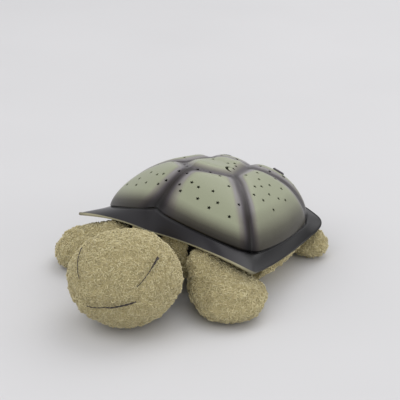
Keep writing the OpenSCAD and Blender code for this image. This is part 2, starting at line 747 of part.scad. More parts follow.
module belly_panel() {
    placed() color("tan") difference() {
        linear_extrude(cloth_t) polygon(ring_outline(0.62));
        well_block(binding_w + 0.2, -1, 10);
        flipper_rooms();
    }
}
module belly_binding() {
    placed() color("darkkhaki") difference() {
        well_block(binding_w, cloth_t / 4, cloth_t * 3 / 4);
        well_block(0, -1, 10);
    }
}

// Places children in the head's own frame: its middle at the origin, its nose towards -y
module in_head() {
    translate([0, neck_y, head_h / 2]) rotate(head_turn) translate([0, -head_reach, 0]) children();
}
module head() {
    placed() color("tan") difference() {
        in_head() scale([head_w / head_l, 1, head_h / head_l]) sphere(head_l / 2, $fn = 64);
        neck_room();
    }
}
// A point on the head by its place across and its height, both as shares of the half sizes
function head_point(u, w, lift) =
    let (v = -sqrt(1 - u * u - w * w), n = unit([u / head_w, v / head_l, w / head_h]))
    [u * head_w / 2, v * head_l / 2, w * head_h / 2] + lift * n;
stitch_r = 0.8;
module stitch(points) { tube([for (p = points) head_point(p[0], p[1], stitch_r * 1.2)], stitch_r, 6); }
eye_steps = 8;
module eye() {
    stitch([for (k = [0 : eye_steps])
        let (u = k / eye_steps) [lerp(0.52, 0.685, u) + 0.03 * sin(180 * u), lerp(0.33, 0.69, u)]]);
}
module eye_left() { placed() color("saddlebrown") in_head() eye(); }
module eye_right() { placed() color("saddlebrown") in_head() mirror([1, 0, 0]) eye(); }
module mouth() {
    steps = 12;
    placed() color("saddlebrown") in_head() stitch([for (k = [0 : steps])
        let (u = lerp(-0.35, 0.52, k / steps)) [u, -0.115 + 0.25 * u + 0.1 * u * u]]);
}

// Flippers: a stuffed pad on a round root; the tray's room is cut out over the whole swing
module pad(disc, t) {
    edge_r = 0.4 * t;
    translate([disc[0], disc[1], 0]) {
        translate([0, 0, 0.25 * t]) cylinder(r = disc[2], h = 0.25 * t);
        cylinder(r = disc[2] - edge_r, h = t);
    }
}
swing_step = 6;
module tray_room(hinge, angle, swing) {
    for (turn = [swing[0] : swing_step : swing[1]])
        rotate(90 - angle - turn) translate([-hinge[0], -hinge[1], tray_z - soft_gap])
            linear_extrude(room_h) polygon(ring_outline(tray_share + 0.01));
}
module flipper(hinge, angle, swing, root_r) {
    translate([hinge[0], hinge[1], 0]) rotate(angle - 90) difference() {
        union() {
            cylinder(r = root_r, h = flipper_t);
            hull() {
                translate([0, 0, 1]) cylinder(r = root_r - 0.5, h = flipper_t - 2);
                children();
            }
        }
        tray_room(hinge, angle, swing);
    }
}
module front_flipper() {
    flipper(front_hinge, front_flipper_a, front_swing, front_root_r) {
        pad(front_pad, front_pad_t);
        pad([elbow[0], elbow[1], elbow_r], front_pad_t);
        translate([shoulder[0], shoulder[1], 0]) {
            translate([0, 0, shoulder_edge])
                cylinder(r = shoulder_r, h = shoulder_top - 2 * shoulder_edge);
            translate([0, 0, 1]) cylinder(r = shoulder_r - shoulder_edge, h = shoulder_top - 1);
        }
    }
}
module rear_flipper() {
    flipper(rear_hinge, rear_flipper_a, rear_swing, rear_root_r) pad(rear_pad, rear_pad_t);
}
module flipper_front_left() { placed() color("tan") front_flipper(); }
module flipper_front_right() { placed() color("tan") mirror([1, 0, 0]) front_flipper(); }
module flipper_rear_left() { placed() color("tan") rear_flipper(); }
module flipper_rear_right() { placed() color("tan") mirror([1, 0, 0]) rear_flipper(); }

shell();
base_tray();
lamp_post();
led_board();
led_blue();
led_green();
led_amber();
main_board();
control_chip();
board_parts();
switch_boards();
tact_switches();
power_button();
colour_button();
battery_box();
cell_1();
cell_2();
cell_3();
contact_springs();
contact_plates();
battery_door();
door_screw();
shell_screws();
board_screws();
lamp_wires();
battery_wires();
switch_wires();
body();
belly_panel();
belly_binding();
neck();
head();
eye_left();
eye_right();
mouth();
flipper_front_left();
flipper_front_right();
flipper_rear_left();
flipper_rear_right();
tail();
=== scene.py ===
"""Dresses the plush turtle night light: painted shell, curly fleece, stitched face, battery bay and studio."""

import math

import bmesh
import bpy
import numpy as np
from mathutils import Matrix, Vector, noise
from mathutils.bvhtree import BVHTree


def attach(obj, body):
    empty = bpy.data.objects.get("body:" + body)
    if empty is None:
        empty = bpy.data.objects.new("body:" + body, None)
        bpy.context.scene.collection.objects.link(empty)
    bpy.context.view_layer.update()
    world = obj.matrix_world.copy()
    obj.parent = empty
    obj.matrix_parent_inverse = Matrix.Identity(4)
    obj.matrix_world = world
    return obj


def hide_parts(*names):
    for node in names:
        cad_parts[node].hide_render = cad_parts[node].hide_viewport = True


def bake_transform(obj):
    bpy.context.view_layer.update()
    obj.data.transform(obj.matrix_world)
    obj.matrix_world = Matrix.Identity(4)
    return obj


bl_info = {
    "name": "Turtle Night Light",
    "version": (1, 0, 0),
    "blender": (4, 5, 0),
    "location": "3D View > Sidebar > Turtle",
    "description": "Builds the shell, plush, face, battery bay and studio of a turtle night light",
    "category": "Object",
}

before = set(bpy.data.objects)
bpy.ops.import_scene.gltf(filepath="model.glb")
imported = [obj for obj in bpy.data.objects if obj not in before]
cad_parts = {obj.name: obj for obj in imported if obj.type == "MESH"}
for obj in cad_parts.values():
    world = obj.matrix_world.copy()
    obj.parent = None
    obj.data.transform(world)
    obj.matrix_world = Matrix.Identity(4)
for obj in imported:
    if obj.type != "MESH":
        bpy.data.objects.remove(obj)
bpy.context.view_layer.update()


# ---------------------------------------------------------------- settings


def length(name, description, default):
    return bpy.props.FloatProperty(name=name, description=description, default=default, unit="LENGTH")


def row(name, description, *default):
    """A setting with a value for each place along the shell."""
    return bpy.props.FloatVectorProperty(
        name=name, description=description, size=len(default), default=default, precision=4
    )


class ShellSettings(bpy.types.PropertyGroup):
    """Sizes of the moulded shell; each row goes from the front over the corners to the rear."""

    middle: length("Middle", "How far behind the origin the shell's middle lies", 0.0565)
    dome_top: length("Dome top", "Height of the dome's top", 0.109)
    dome_top_y: length("Top place", "How far behind the middle the dome's top lies", 0.008)
    corner_angles: row(
        "Corner angles",
        "Angles from the front of the seam's front corners, the rim's front corners and the rear corners",
        *[math.radians(a) for a in (55, 51.8, 129)],
    )
    rim_r: row("Rim radius", "Rim radius", 0.117, 0.153, 0.118, 0.1242)
    rim_z: row("Rim height", "Rim height", 0.072, 0.0515, 0.040, 0.032)
    rim_bow: row("Rim bow", "Outward bow of the rim's edges", -0.002, -0.005, 0.002)
    rim_lift: row("Rim lift", "Upward bow of the rim's edges", 0.003, -0.0115, 0.002)
    rim_round: row(
        "Rim rounding", "How far before each corner the rim starts to round", 0.010, 0.005, 0.018, 0.010
    )
    seam_r: row("Seam radius", "Radius where dome and brim meet", 0.108, 0.122, 0.101, 0.096)
    seam_z: row("Seam height", "Height where dome and brim meet", 0.092, 0.056, 0.043, 0.042)
    seam_bow: row("Seam bow", "Outward bow of the seam's edges", 0.008, 0.007, 0.012)
    seam_lift: row("Seam lift", "Upward bow of the seam's edges", 0.002, -0.002, 0.0)
    top_share: row("Top panel", "Share of the dome that the top panel takes", 0.48, 0.31, 0.30, 0.43)
    dome_swell: row("Dome swell", "How far the dome swells half way down", 0.016, 0.005, 0.0, -0.006)
    groove_lean: bpy.props.FloatProperty(
        name="Groove lean",
        description="How far the front corners' grooves lean to the rear towards the top",
        default=math.radians(8),
        subtype="ANGLE",
    )
    groove_depth: length("Groove depth", "Depth of the grooves between the panels", 0.005)
    groove_w: length("Groove width", "Half width of the grooves", 0.009)
    foot_notch: bpy.props.FloatProperty(
        name="Foot notch",
        description="How far the grooves cut in at the dome's foot, as a share of its radius",
        default=0.036,
    )
    seam_gap: length("Seam gap", "Depth of the fine gap between dome and brim", 0.0010)
    wall: length("Wall", "Wall of the shell", 0.0022)
    lip_r: length("Lip", "Radius of the rolled lip", 0.0019)
    star_r: length("Star", "Outer radius of a star hole", 0.0024)
    button_r: length("Button hole", "Radius of a button's hole", 0.0073)


def colour_property(name, description, default):
    return bpy.props.FloatVectorProperty(
        name=name, description=description, size=3, default=default, subtype="COLOR", min=0, max=1
    )


class PaintSettings(bpy.types.PropertyGroup):
    """Airbrushed paint on the shell, as sRGB shares."""

    celadon: colour_property("Panel", "Colour of the panels' middles", (0.585, 0.600, 0.505))
    haze: colour_property("Haze", "Colour where the airbrush starts", (0.525, 0.515, 0.465))
    umber: colour_property("Fade", "Colour halfway into a groove", (0.430, 0.420, 0.385))
    plum: colour_property("Groove", "Colour of a groove's flanks", (0.310, 0.290, 0.300))
    pitch: colour_property("Core", "Colour of a groove's bottom", (0.150, 0.130, 0.120))
    # Painted sheen: a light purple-grey band along the panels' upper edges that stands in for the paint's reflection
    # of the bright surroundings
    painted_sheen: colour_property("Ridge", "Colour of the sheen along the panels' upper edges", (0.560, 0.545, 0.575))
    # The feet darken partly from the airbrush and partly as painted shade, where the panels turn down towards the
    # brim
    foot: colour_property("Foot", "Darkest tint that the airbrush leaves at the panels' feet", (0.33, 0.30, 0.31))
    brim: colour_property("Brim", "Colour of the brim", (0.148, 0.142, 0.153))
    lip: colour_property("Lip", "Colour of the rolled lip", (0.66, 0.64, 0.53))
    # The inside is near black: partly a dark inner finish, partly painted shade so that the star holes read dark
    inside: colour_property("Inside", "Colour of the bare inside", (0.05, 0.05, 0.05))
    gloss: bpy.props.FloatProperty(name="Roughness", description="Roughness of the paint", default=0.30, min=0, max=1)


class PlushSettings(bpy.types.PropertyGroup):
    """Curly fleece over stuffing."""

    spacing: length("Spacing", "Least distance between two curls", 0.0013)
    curl_r: length("Curl", "Radius of a curl's loop", 0.0013)
    yarn_r: length("Yarn", "Radius of a curl's yarn", 0.00052)
    seed: bpy.props.IntProperty(name="Seed", description="Seed of the curls' places", default=7)
    voxel: length("Cloth grid", "Grid of the cloth that is stuffed", 0.0045)
    # The ground is a little darker than the curls: partly the cloth's own colour, partly painted shade for the
    # crevices between the curls
    dark: colour_property("Ground", "Colour of the cloth below the curls", (0.72, 0.675, 0.51))
    mid: colour_property("Fleece", "Colour of most curls", (0.765, 0.715, 0.545))
    light: colour_property("Tips", "Colour of the lightest curls", (0.835, 0.795, 0.63))


class StageSettings(bpy.types.PropertyGroup):
    """Studio and camera."""

    azimuth: bpy.props.FloatProperty(
        name="Azimuth", description="Camera's angle about the turtle", default=math.radians(38.77), subtype="ANGLE"
    )
    elevation: bpy.props.FloatProperty(
        name="Elevation", description="Camera's angle above the floor", default=math.radians(22.85), subtype="ANGLE"
    )
    distance: length("Distance", "Camera's distance from its target", 1.5996)
    target: bpy.props.FloatVectorProperty(
        name="Target",
        description="Point that the camera looks at",
        size=3,
        default=(-0.11464, 0.16875, 0.0),
        subtype="XYZ",
    )
    lens: bpy.props.FloatProperty(name="Lens", description="Focal length in millimetres", default=117.0)
    floor: colour_property("Floor", "Colour of the floor", (0.826, 0.824, 0.826))
    sky: colour_property("Backdrop", "Colour of the backdrop", (0.885, 0.885, 0.895))


# ---------------------------------------------------------------- helpers


def linear(colour):
    """sRGB shares as linear ones, with alpha."""
    return [c / 12.92 if c <= 0.04045 else ((c + 0.055) / 1.055) ** 2.4 for c in colour] + [1.0]


def put_in_scene(name, data):
    obj = bpy.data.objects.new(name, data)
    bpy.context.scene.collection.objects.link(obj)
    return obj


def new_object(name, vertices, faces, material=None):
    mesh = bpy.data.meshes.new(name)
    mesh.from_pydata([tuple(v) for v in vertices], [], [tuple(f) for f in faces])
    mesh.validate()
    if material:
        mesh.materials.append(material)
    return put_in_scene(name, mesh)


def coords(mesh):
    co = np.empty(len(mesh.vertices) * 3, np.float32)
    mesh.vertices.foreach_get("co", co)
    return co.reshape(-1, 3).astype(float)


def normals(mesh):
    no = np.empty(len(mesh.vertices) * 3, np.float32)
    mesh.vertex_normals.foreach_get("vector", no)
    return no.reshape(-1, 3).astype(float)


def set_coords(mesh, co):
    mesh.vertices.foreach_set("co", co.astype(np.float32).ravel())
    mesh.update()


def point_attribute(mesh, name, values):
    attribute = mesh.attributes.get(name) or mesh.attributes.new(name, "FLOAT", "POINT")
    attribute.data.foreach_set("value", values.astype(np.float32))


def bake(obj):
    """Turns the modifiers' result into a plain mesh."""
    graph = bpy.context.evaluated_depsgraph_get()
    mesh = bpy.data.meshes.new_from_object(obj.evaluated_get(graph), depsgraph=graph)
    obj.modifiers.clear()
    old = obj.data
    obj.data = mesh
    bpy.data.meshes.remove(old)
    return obj


def copy_of_node(name, new_name):
    """A merged copy of a CAD node, as an object of its own."""
    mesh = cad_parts[name].data.copy()
    obj = put_in_scene(new_name, mesh)
    form = bmesh.new()
    form.from_mesh(mesh)
    bmesh.ops.remove_doubles(form, verts=form.verts, dist=1e-5)
    bmesh.ops.recalc_face_normals(form, faces=form.faces)
    form.to_mesh(mesh)
    form.free()
    mesh.materials.clear()
    return obj


def smooth_by_angle(mesh, angle):
    mesh.polygons.foreach_set("use_smooth", [True] * len(mesh.polygons))
    mesh.set_sharp_from_angle(angle=angle)


def feed_node(tree, node, key, value):
    if isinstance(value, bpy.types.NodeSocket):
        tree.links.new(value, node.inputs[key])
    else:
        node.inputs[key].default_value = value


def put_node(tree, kind, inputs=None, **settings):
    node = tree.nodes.new(kind)
    for key, value in settings.items():
        setattr(node, key, value)
    for key, value in (inputs or {}).items():
        feed_node(tree, node, key, value)
    return node


class Wiring:
    """A material's nodes, put in and linked in one line each."""

    def __init__(self, name):
        self.material = bpy.data.materials.new(name)
        self.material.use_nodes = True
        self.tree = self.material.node_tree
        self.shader = self.tree.nodes["Principled BSDF"]

    def put(self, kind, inputs=None, **settings):
        return put_node(self.tree, kind, inputs, **settings)

    def calc(self, operation, a, b, **settings):
        return self.put("ShaderNodeMath", {0: a, 1: b}, operation=operation, **settings).outputs[0]

    def ramp(self, factor, stops):
        node = self.put("ShaderNodeValToRGB", {"Fac": factor})
        ramp = node.color_ramp
        while len(ramp.elements) < len(stops):
            ramp.elements.new(0.5)
        for element, (place, colour) in zip(ramp.elements, stops):
            element.position = place
            element.color = colour
        return node.outputs["Color"]

    def grain(self, scale, detail=3.0, stretch=(1, 1, 1)):
        place = self.put("ShaderNodeTexCoord").outputs["Object"]
        mapped = self.put("ShaderNodeMapping", {"Vector": place, "Scale": stretch}).outputs["Vector"]
        return self.put("ShaderNodeTexNoise", {"Vector": mapped, "Scale": scale, "Detail": detail}).outputs["Fac"]

    def bump(self, height, distance, strength=1.0):
        node = self.put("ShaderNodeBump", {"Height": height, "Distance": distance, "Strength": strength})
        self.finish(Normal=node.outputs["Normal"])

    def colour(self, value):
        feed_node(self.tree, self.shader, "Base Color", value)

    def mottle(self, grain, dark, light):
        """Colours the shader by a grain between two tones."""
        self.colour(self.ramp(grain, [(0.3, linear(dark)), (0.7, linear(light))]))

    def finish(self, **values):
        for key, value in values.items():
            feed_node(self.tree, self.shader, key.replace("_", " "), value)
        return self.material


def attribute_value(wiring, name):
    return wiring.put("ShaderNodeAttribute", attribute_name=name).outputs["Fac"]


# ---------------------------------------------------------------- the shell's form

CORNERS = 6
KIND = [0, 1, 2, 3, 2, 1, 0]
EDGE = [0, 1, 2, 2, 1, 0]
LEAN_SHARE = [0, 1, 0, 0, 0, -1, 0]
RISE_IN = 2.3
RISE_OUT = 1.7
GROOVE_MEAN = 0.6
NOTCH_W = 0.0085
GROOVE_PAINT = ([0, 0.0031, 0.0050, 0.0072, 0.0100, 0.0135], [1, 0.92, 0.75, 0.5, 0.2, 0])
GROOVE_STRENGTH = ([0.45, 0.75], [0.86, 1.0])
# Darkening at the panels' feet by height above the seam, front and side: partly airbrush, partly painted shade
FRONT_FOOT = ([0.004, 0.0065, 0.0096, 0.0145, 0.0175, 0.0205, 0.026], [1, 0.88, 0.75, 0.5, 0.34, 0.2, 0])
SIDE_FOOT = ([0, 0.0097, 0.0165, 0.023, 0.030, 0.037, 0.046], [0.84, 0.74, 0.65, 0.46, 0.28, 0.18, 0])
FRONT_SPREAD = ([0.66, 1.0], [1.0, 0.45])
TOP_BOW = 0.2
EDGE_BLEND = 0.0025
NOTCH_FROM = 0.72
SWELL_POWER = 1.5
TOP_SPREAD = 1.15
TOP_GROOVE = 0.80
PANEL_N = 26
DOME_N = 60
# Where the painted sheen lies: its distance from a groove, its half width, and its fade above the seam
RIDGE_PLACE = 0.0080
RIDGE_W = 0.0020
RIDGE_FADE = ([0.03, 0.05], [0, 1])
# Half width of the painted shadow along the seam's gap
LINE_W = 0.0011
BRIM_STEPS = np.append((np.arange(1, 14) / 14) ** 1.6, [0.965, 1.0])


class ShellForm:
    """The shell's skin: six panels round a top panel, then the brim. Arrays in, arrays out."""

    def __init__(self, sizes):
        self.sizes = sizes
        seam_front, rim_front, b = sizes.corner_angles
        turn = 2 * math.pi
        self.seam_a, self.rim_a = [[0, a, b, math.pi, turn - b, turn - a, turn] for a in (seam_front, rim_front)]

    def corner(self, radii, angles, i):
        r = radii[KIND[i]]
        return np.array([r * math.sin(angles[i]), -r * math.cos(angles[i])])

    def edge_point(self, radii, angles, heights, bows, lifts, i, t):
        p, q = self.corner(radii, angles, i), self.corner(radii, angles, i + 1)
        d = (q - p) / np.linalg.norm(q - p)
        b = 4 * t * (1 - t)
        xy = p + np.multiply.outer(t, q - p) + np.multiply.outer(bows[EDGE[i]] * b, np.array([d[1], -d[0]]))
        z = heights[KIND[i]] * (1 - t) + heights[KIND[i + 1]] * t + lifts[EDGE[i]] * b
        return np.concatenate([xy, z[..., None]], -1)

    def seam(self, i, t):
        s = self.sizes
        return self.edge_point(s.seam_r, self.seam_a, s.seam_z, s.seam_bow, s.seam_lift, i, t)

    def span(self, radii, angles, i):
        return np.linalg.norm(self.corner(radii, angles, i + 1) - self.corner(radii, angles, i))

    def rim_edge(self, i, t):
        s = self.sizes
        return self.edge_point(s.rim_r, self.rim_a, s.rim_z, s.rim_bow, s.rim_lift, i, t)

    def rim_corner(self, i, h):
        """The rim's corner i, rounded: h runs from 0 before the corner to 1 after it."""
        s = self.sizes
        r = s.rim_round[KIND[i]]
        before, after = (i - 1) % CORNERS, i % CORNERS
        p = self.rim_edge(before, np.array(1 - r / self.span(s.rim_r, self.rim_a, before)))
        c = self.rim_edge(after, np.array(0.0))
        q = self.rim_edge(after, np.array(r / self.span(s.rim_r, self.rim_a, after)))
        h = np.asarray(h)[..., None]
        return (1 - h) ** 2 * p + 2 * h * (1 - h) * c + h**2 * q

    def rim(self, i, t):
        s = self.sizes
        t = np.asarray(t, float)
        a = s.rim_round[KIND[i]] / self.span(s.rim_r, self.rim_a, i)
        b = s.rim_round[KIND[i + 1]] / self.span(s.rim_r, self.rim_a, i)
        point = np.where((t < a)[..., None], self.rim_corner(i, 0.5 + t / a / 2), self.rim_edge(i, t))
        return np.where((t > 1 - b)[..., None], self.rim_corner(i + 1, 0.5 - (1 - t) / b / 2), point)

    def groove_distances(self, i, t, s):
        """Distances to the nearest side groove and, signed, to the top panel's edge."""
        z = self.sizes
        c = self.seam(i, t)
        span = self.span(z.seam_r, self.seam_a, i)
        share = (z.top_share[KIND[i]] * (1 - t) + z.top_share[KIND[i + 1]] * t) * (1 - TOP_BOW * t * (1 - t))
        reach = np.hypot(c[..., 0], c[..., 1] - z.dome_top_y)
        return s * span * np.minimum(t, 1 - t), (s - share) * reach

    def dome(self, i, t, s):
        z = self.sizes
        t, s = np.broadcast_arrays(np.asarray(t, float), np.asarray(s, float))
        c = self.seam(i, t)
        side, top = self.groove_distances(i, t, s)
        dip = lambda d: 1 - np.exp(-((d / z.groove_w) ** 2))
        outside = 1 / (1 + np.exp(np.clip(-top / EDGE_BLEND, -60, 60)))
        puff = dip(top) * (outside * dip(side) + 1 - outside)
        rise = np.maximum(1 - s**RISE_IN, 0) ** (1 / RISE_OUT)
        low = np.clip((s - NOTCH_FROM) / (1 - NOTCH_FROM), 0, 1)
        out = s * (1 - z.foot_notch * low * low * (3 - 2 * low) * np.exp(-((side / NOTCH_W) ** 2)))
        lean = z.groove_lean * (LEAN_SHARE[i] * (1 - t) + LEAN_SHARE[i + 1] * t) * (1 - s)
        x = out * (c[..., 0] * np.cos(lean) - c[..., 1] * np.sin(lean))
        y = z.dome_top_y * (1 - out) + out * (c[..., 0] * np.sin(lean) + c[..., 1] * np.cos(lean))
        swell = z.dome_swell[KIND[i]] * (1 - t) + z.dome_swell[KIND[i + 1]] * t
        swell = swell * np.maximum(np.sin(np.pi * s), 0) ** SWELL_POWER
        height = c[..., 2] + (z.dome_top - c[..., 2]) * rise + swell
        return np.stack([x, y, height + z.groove_depth * (puff - GROOVE_MEAN) * (1 - s**8)], -1)

    def frame_at(self, i, t, s, step=0.01):
        """A point of the dome, its outward normal and a direction along the panel."""
        p = self.dome(i, t, s)
        down = self.dome(i, t, s + step) - self.dome(i, t, s - step)
        along = self.dome(i, t + step, s) - self.dome(i, t - step, s)
        n = np.cross(down, along)
        return p, n / np.linalg.norm(n), along / np.linalg.norm(along)


def shell_rows(form, panel_n, dome_n):
    """Rows of points from just below the dome's top to the rim."""
    t = (1 - np.cos(np.pi * np.arange(panel_n) / panel_n)) / 2
    rows = [
        np.concatenate([form.dome(i, t, math.sin(math.pi / 2 * k / dome_n)) for i in range(CORNERS)])
        for k in range(1, dome_n + 1)
    ]
    rim = np.concatenate([form.rim(i, t) for i in range(CORNERS)])
    return np.array(rows + [rows[-1] * (1 - u) + rim * u for u in BRIM_STEPS])


def paint_rows(form, rows, panel_n, dome_n):
    """Shares of paint beside the rows: groove, painted sheen (a painted reflection), foot (airbrush and painted
    shade), brim and seam line (a painted shadow in the seam's gap).
    """
    t = (1 - np.cos(np.pi * np.arange(panel_n) / panel_n)) / 2
    m, n = rows.shape[:2]
    step = np.linalg.norm(np.diff(rows, axis=0), axis=-1)
    below = np.concatenate([np.cumsum(step[::-1], 0)[::-1], np.zeros((1, n))])
    below = below - below[dome_n - 1]
    groove, painted_sheen, foot = np.zeros((m, n)), np.zeros((m, n)), np.zeros((m, n))
    for k in range(dome_n):
        s = math.sin(math.pi / 2 * (k + 1) / dome_n)
        for i in range(CORNERS):
            part = slice(i * panel_n, (i + 1) * panel_n)
            side, top = form.groove_distances(i, t, np.full_like(t, s))
            side = np.where(top > 0, side, 1.0)
            beside_front = EDGE[i] == 0 and (t < 0.5 if i == 0 else t > 0.5)
            side = side * np.where(beside_front, np.interp(s, *FRONT_SPREAD), 1.0)
            depth = np.interp(s, *GROOVE_STRENGTH)
            a = np.interp(side, *GROOVE_PAINT) * depth
            b = np.interp(np.where(top > 0, top, -TOP_SPREAD * top), *GROOVE_PAINT) * TOP_GROOVE
            groove[k, part] = 1 - (1 - a) * (1 - b)
            near = np.minimum(side, np.where(top > 0, top, 1.0))
            # Painted sheen: a band of light paint beside the upper grooves, standing in for a reflection
            painted_sheen[k, part] = np.exp(-(((near - RIDGE_PLACE) / RIDGE_W) ** 2))
            painted_sheen[k, part] *= np.interp(below[k, part], *RIDGE_FADE)
            foot[k, part] = np.interp(below[k, part], *(FRONT_FOOT if EDGE[i] == 0 else SIDE_FOOT))
    brim = np.zeros((m, n))
    brim[dome_n - 1 :] = 1
    # The seam line: a painted shadow along the fine gap between dome and brim
    line = np.exp(-((below / LINE_W) ** 2))
    return {"groove": groove, "painted_sheen": painted_sheen, "foot": foot, "brim": brim, "line": line}


def closed_skin(first, rows, last):
    """Vertices and faces of a closed skin over rows of points."""
    m, n = rows.shape[:2]
    vertices = np.concatenate([[first], rows.reshape(-1, 3), [last]])
    faces = [(0, 1 + j, 1 + (j + 1) % n) for j in range(n)]
    for k in range(m - 1):
        a = 1 + k * n
        faces += [(a + j, a + n + j, a + n + (j + 1) % n, a + (j + 1) % n) for j in range(n)]
    a = 1 + (m - 1) * n
    faces += [(1 + m * n, a + (j + 1) % n, a + j) for j in range(n)]
    return vertices, faces


# How the paint's edges lie: depths and distances in metres, turns in degrees from the front
INSIDE_DEPTH = 0.0014
INSIDE_FROM_RIM = 0.0035
LIP_REACH = 0.0032
LIP_START = ([0.0002, 0.0007], [0, 1])
LIP_TURN = ([47, 55], [1, 0])
# Painted shade: beyond these turns from the front, the brim's side band is painted darker
SIDE_SHADE_TURN = ([49, 54], [0, 1])

# Star holes as (share from the top, share along the panel, size) on the left half
FRONT_STARS = [
    (0.40, 0.38), (0.45, 0.14), (0.47, 0.62), (0.58, 0.08), (0.58, 0.78), (0.68, 0.25), (0.69, 0.56), (0.70, 0.36),
    (0.73, 0.11), (0.73, 0.90), (0.79, 0.17), (0.78, 0.64), (0.80, 0.40), (0.84, 0.55), (0.86, 0.78),
]
SIDE_STARS = [
    (0.42, 0.30), (0.47, 0.66), (0.55, 0.50), (0.60, 0.28), (0.63, 0.42), (0.64, 0.86), (0.66, 0.60), (0.67, 0.18),
    (0.73, 0.46), (0.75, 0.30), (0.75, 0.76), (0.80, 0.58), (0.84, 0.68), (0.85, 0.40),
]
REAR_STARS = [
    (0.46, 0.30), (0.50, 0.72), (0.55, 0.14), (0.60, 0.55), (0.80, 0.62), (0.84, 0.20), (0.86, 0.46), (0.72, 0.84),
]
TOP_STARS = [(0.10, 0.30), (0.16, 0.75), (0.22, 0.20), (0.20, 0.55)]
MOON = (0.22, 0.95)
BUTTON = (0.70, 0.40)
BOSS_SHARE = 0.78
BOSS_BOTTOM = 0.0319
BOSS_DEPTH = 0.011
BOSS_R = 0.0042
PILOT_R = 0.00135
SWITCH_BOARD_Z = -0.0164
SWITCH_POST_X = 0.012
SWITCH_POST_R = 0.0022


def star_outline(r):
    return [(q * math.sin(math.radians(36 * k)), q * math.cos(math.radians(36 * k)))
            for k, q in enumerate([r, 0.5 * r] * 5)]


def moon_outline(r):
    """A crescent: most of one circle with a second taken out of its side."""
    outer = [(2.2 * r * math.cos(a), 2.2 * r * math.sin(a)) for a in np.radians(np.linspace(57, 303, 19))]
    inner = [(r + 1.8 * r * math.cos(a), 1.8 * r * math.sin(a)) for a in np.radians(np.linspace(270, 90, 13))]
    return outer + inner[1:-1]


def prism(point, normal, along, outline, depth):
    """A straight prism through a point of the skin, as vertices and faces."""
    side = np.cross(normal, along)
    base = np.array([point + along * x + side * y for x, y in outline])
    n = len(outline)
    vertices = np.concatenate([base - normal * depth, base + normal * depth])
    faces = [tuple(range(n - 1, -1, -1)), tuple(range(n, 2 * n))]
    faces += [(j, (j + 1) % n, n + (j + 1) % n, n + j) for j in range(n)]
    return vertices, faces


def hole_cutters(form, sizes):
    """All the prisms that pierce the shell, as one mesh."""
    prisms = []

    def add(i, place, outline, mirrored, depth=0.006):
        p, n, along = form.frame_at(i, np.array(place[1]), np.array(place[0]))
        if mirrored:
            flip = np.array([-1, 1, 1])
            p, n, along = p * flip, n * flip, along * flip
        prisms.append(prism(p, n, along, outline, depth))

    for mirrored in (False, True):
        for i, places in ((0, FRONT_STARS), (1, SIDE_STARS), (2, REAR_STARS), (1, TOP_STARS)):
            for place in places:
                add(i, place, star_outline(sizes.star_r), mirrored)
        turn = np.linspace(0, 2 * np.pi, 49)[:-1]
        ring = [(sizes.button_r * math.cos(a), sizes.button_r * math.sin(a)) for a in turn]
        add(2, BUTTON, ring, mirrored)
    add(0, MOON, moon_outline(sizes.star_r), False)
    return gathered(prisms)


def shell_paint():
    p = bpy.context.scene.turtle_paint
    w = Wiring("airbrushed shell")
    drift = w.calc("MULTIPLY", w.grain(28, 3), 0.14)
    speck = w.calc("MULTIPLY", w.grain(900, 2), 0.08)
    # The grains' own mean, 0.11, comes off again, so that the spray goes both ways
    spray = w.calc("SUBTRACT", w.calc("ADD", drift, speck), 0.11)

    def sprayed(name):
        return w.calc("ADD", attribute_value(w, name), spray)

    def mixed(factor, a, b, **settings):
        node = w.put("ShaderNodeMix", {"Factor": factor, "A": a, "B": b}, data_type="RGBA", **settings)
        return node.outputs["Result"]

    coat = w.ramp(sprayed("groove"), [
        (place, linear(colour))
        for place, colour in zip((0.03, 0.22, 0.50, 0.76, 0.97), (p.celadon, p.haze, p.umber, p.plum, p.pitch))
    ])
    # Painted sheen: light purple-grey mixed in along the panels' upper edges, standing in for a reflection
    sheen = w.calc("MULTIPLY", sprayed("painted_sheen"), 0.62, use_clamp=True)
    coat = mixed(sheen, coat, linear(p.painted_sheen))
    # The feet's darkening: partly airbrush, partly painted shade where the panels turn down
    dark = linear(p.foot)
    tint = [[q ** share for q in dark[:3]] + [1.0] for share in (0.0, 0.11, 0.33, 0.72, 1.0)]
    foot = w.ramp(sprayed("foot"), list(zip((0.03, 0.25, 0.50, 0.75, 0.97), tint)))
    coat = mixed(1.0, coat, foot, blend_type="MULTIPLY")
    coat = mixed(attribute_value(w, "brim"), coat, linear(p.brim))
    # Painted shade: the brim's side band is darkened to 0.40 of the brim's colour, standing in for the shade it lies
    # in
    coat = mixed(attribute_value(w, "painted_side_shade"), coat, linear([c * 0.40 for c in p.brim]))
    # Painted shadow: the seam's gap is darkened to 0.3 of the brim's colour
    coat = mixed(attribute_value(w, "line"), coat, linear([c * 0.3 for c in p.brim]))
    coat = mixed(attribute_value(w, "lip"), coat, linear(p.lip))
    # Near black on the inner side and the posts: partly a dark finish, partly painted shade seen through the holes
    coat = mixed(attribute_value(w, "inside"), coat, linear(p.inside))
    w.colour(coat)
    w.bump(w.grain(420, 2), 0.00004, 0.6)
    return w.finish(Roughness=p.gloss, Specular_IOR_Level=0.22)


def lathe(profile, base, axis, sides=20):
    """A turned solid: profile holds (radius, height) from one end on the axis to the other."""
    axis = np.asarray(axis, float)
    across = np.cross(axis, [1.0, 0, 0] if abs(axis[0]) < 0.9 else [0, 1.0, 0])
    across /= np.linalg.norm(across)
    along = np.cross(axis, across)
    turn = 2 * np.pi * np.arange(sides) / sides
    spokes = np.cos(turn)[:, None] * across + np.sin(turn)[:, None] * along
    rows = np.array([base + axis * z + spokes * r for r, z in profile[1:-1]])
    return closed_skin(base + axis * profile[0][1], rows, base + axis * profile[-1][1])


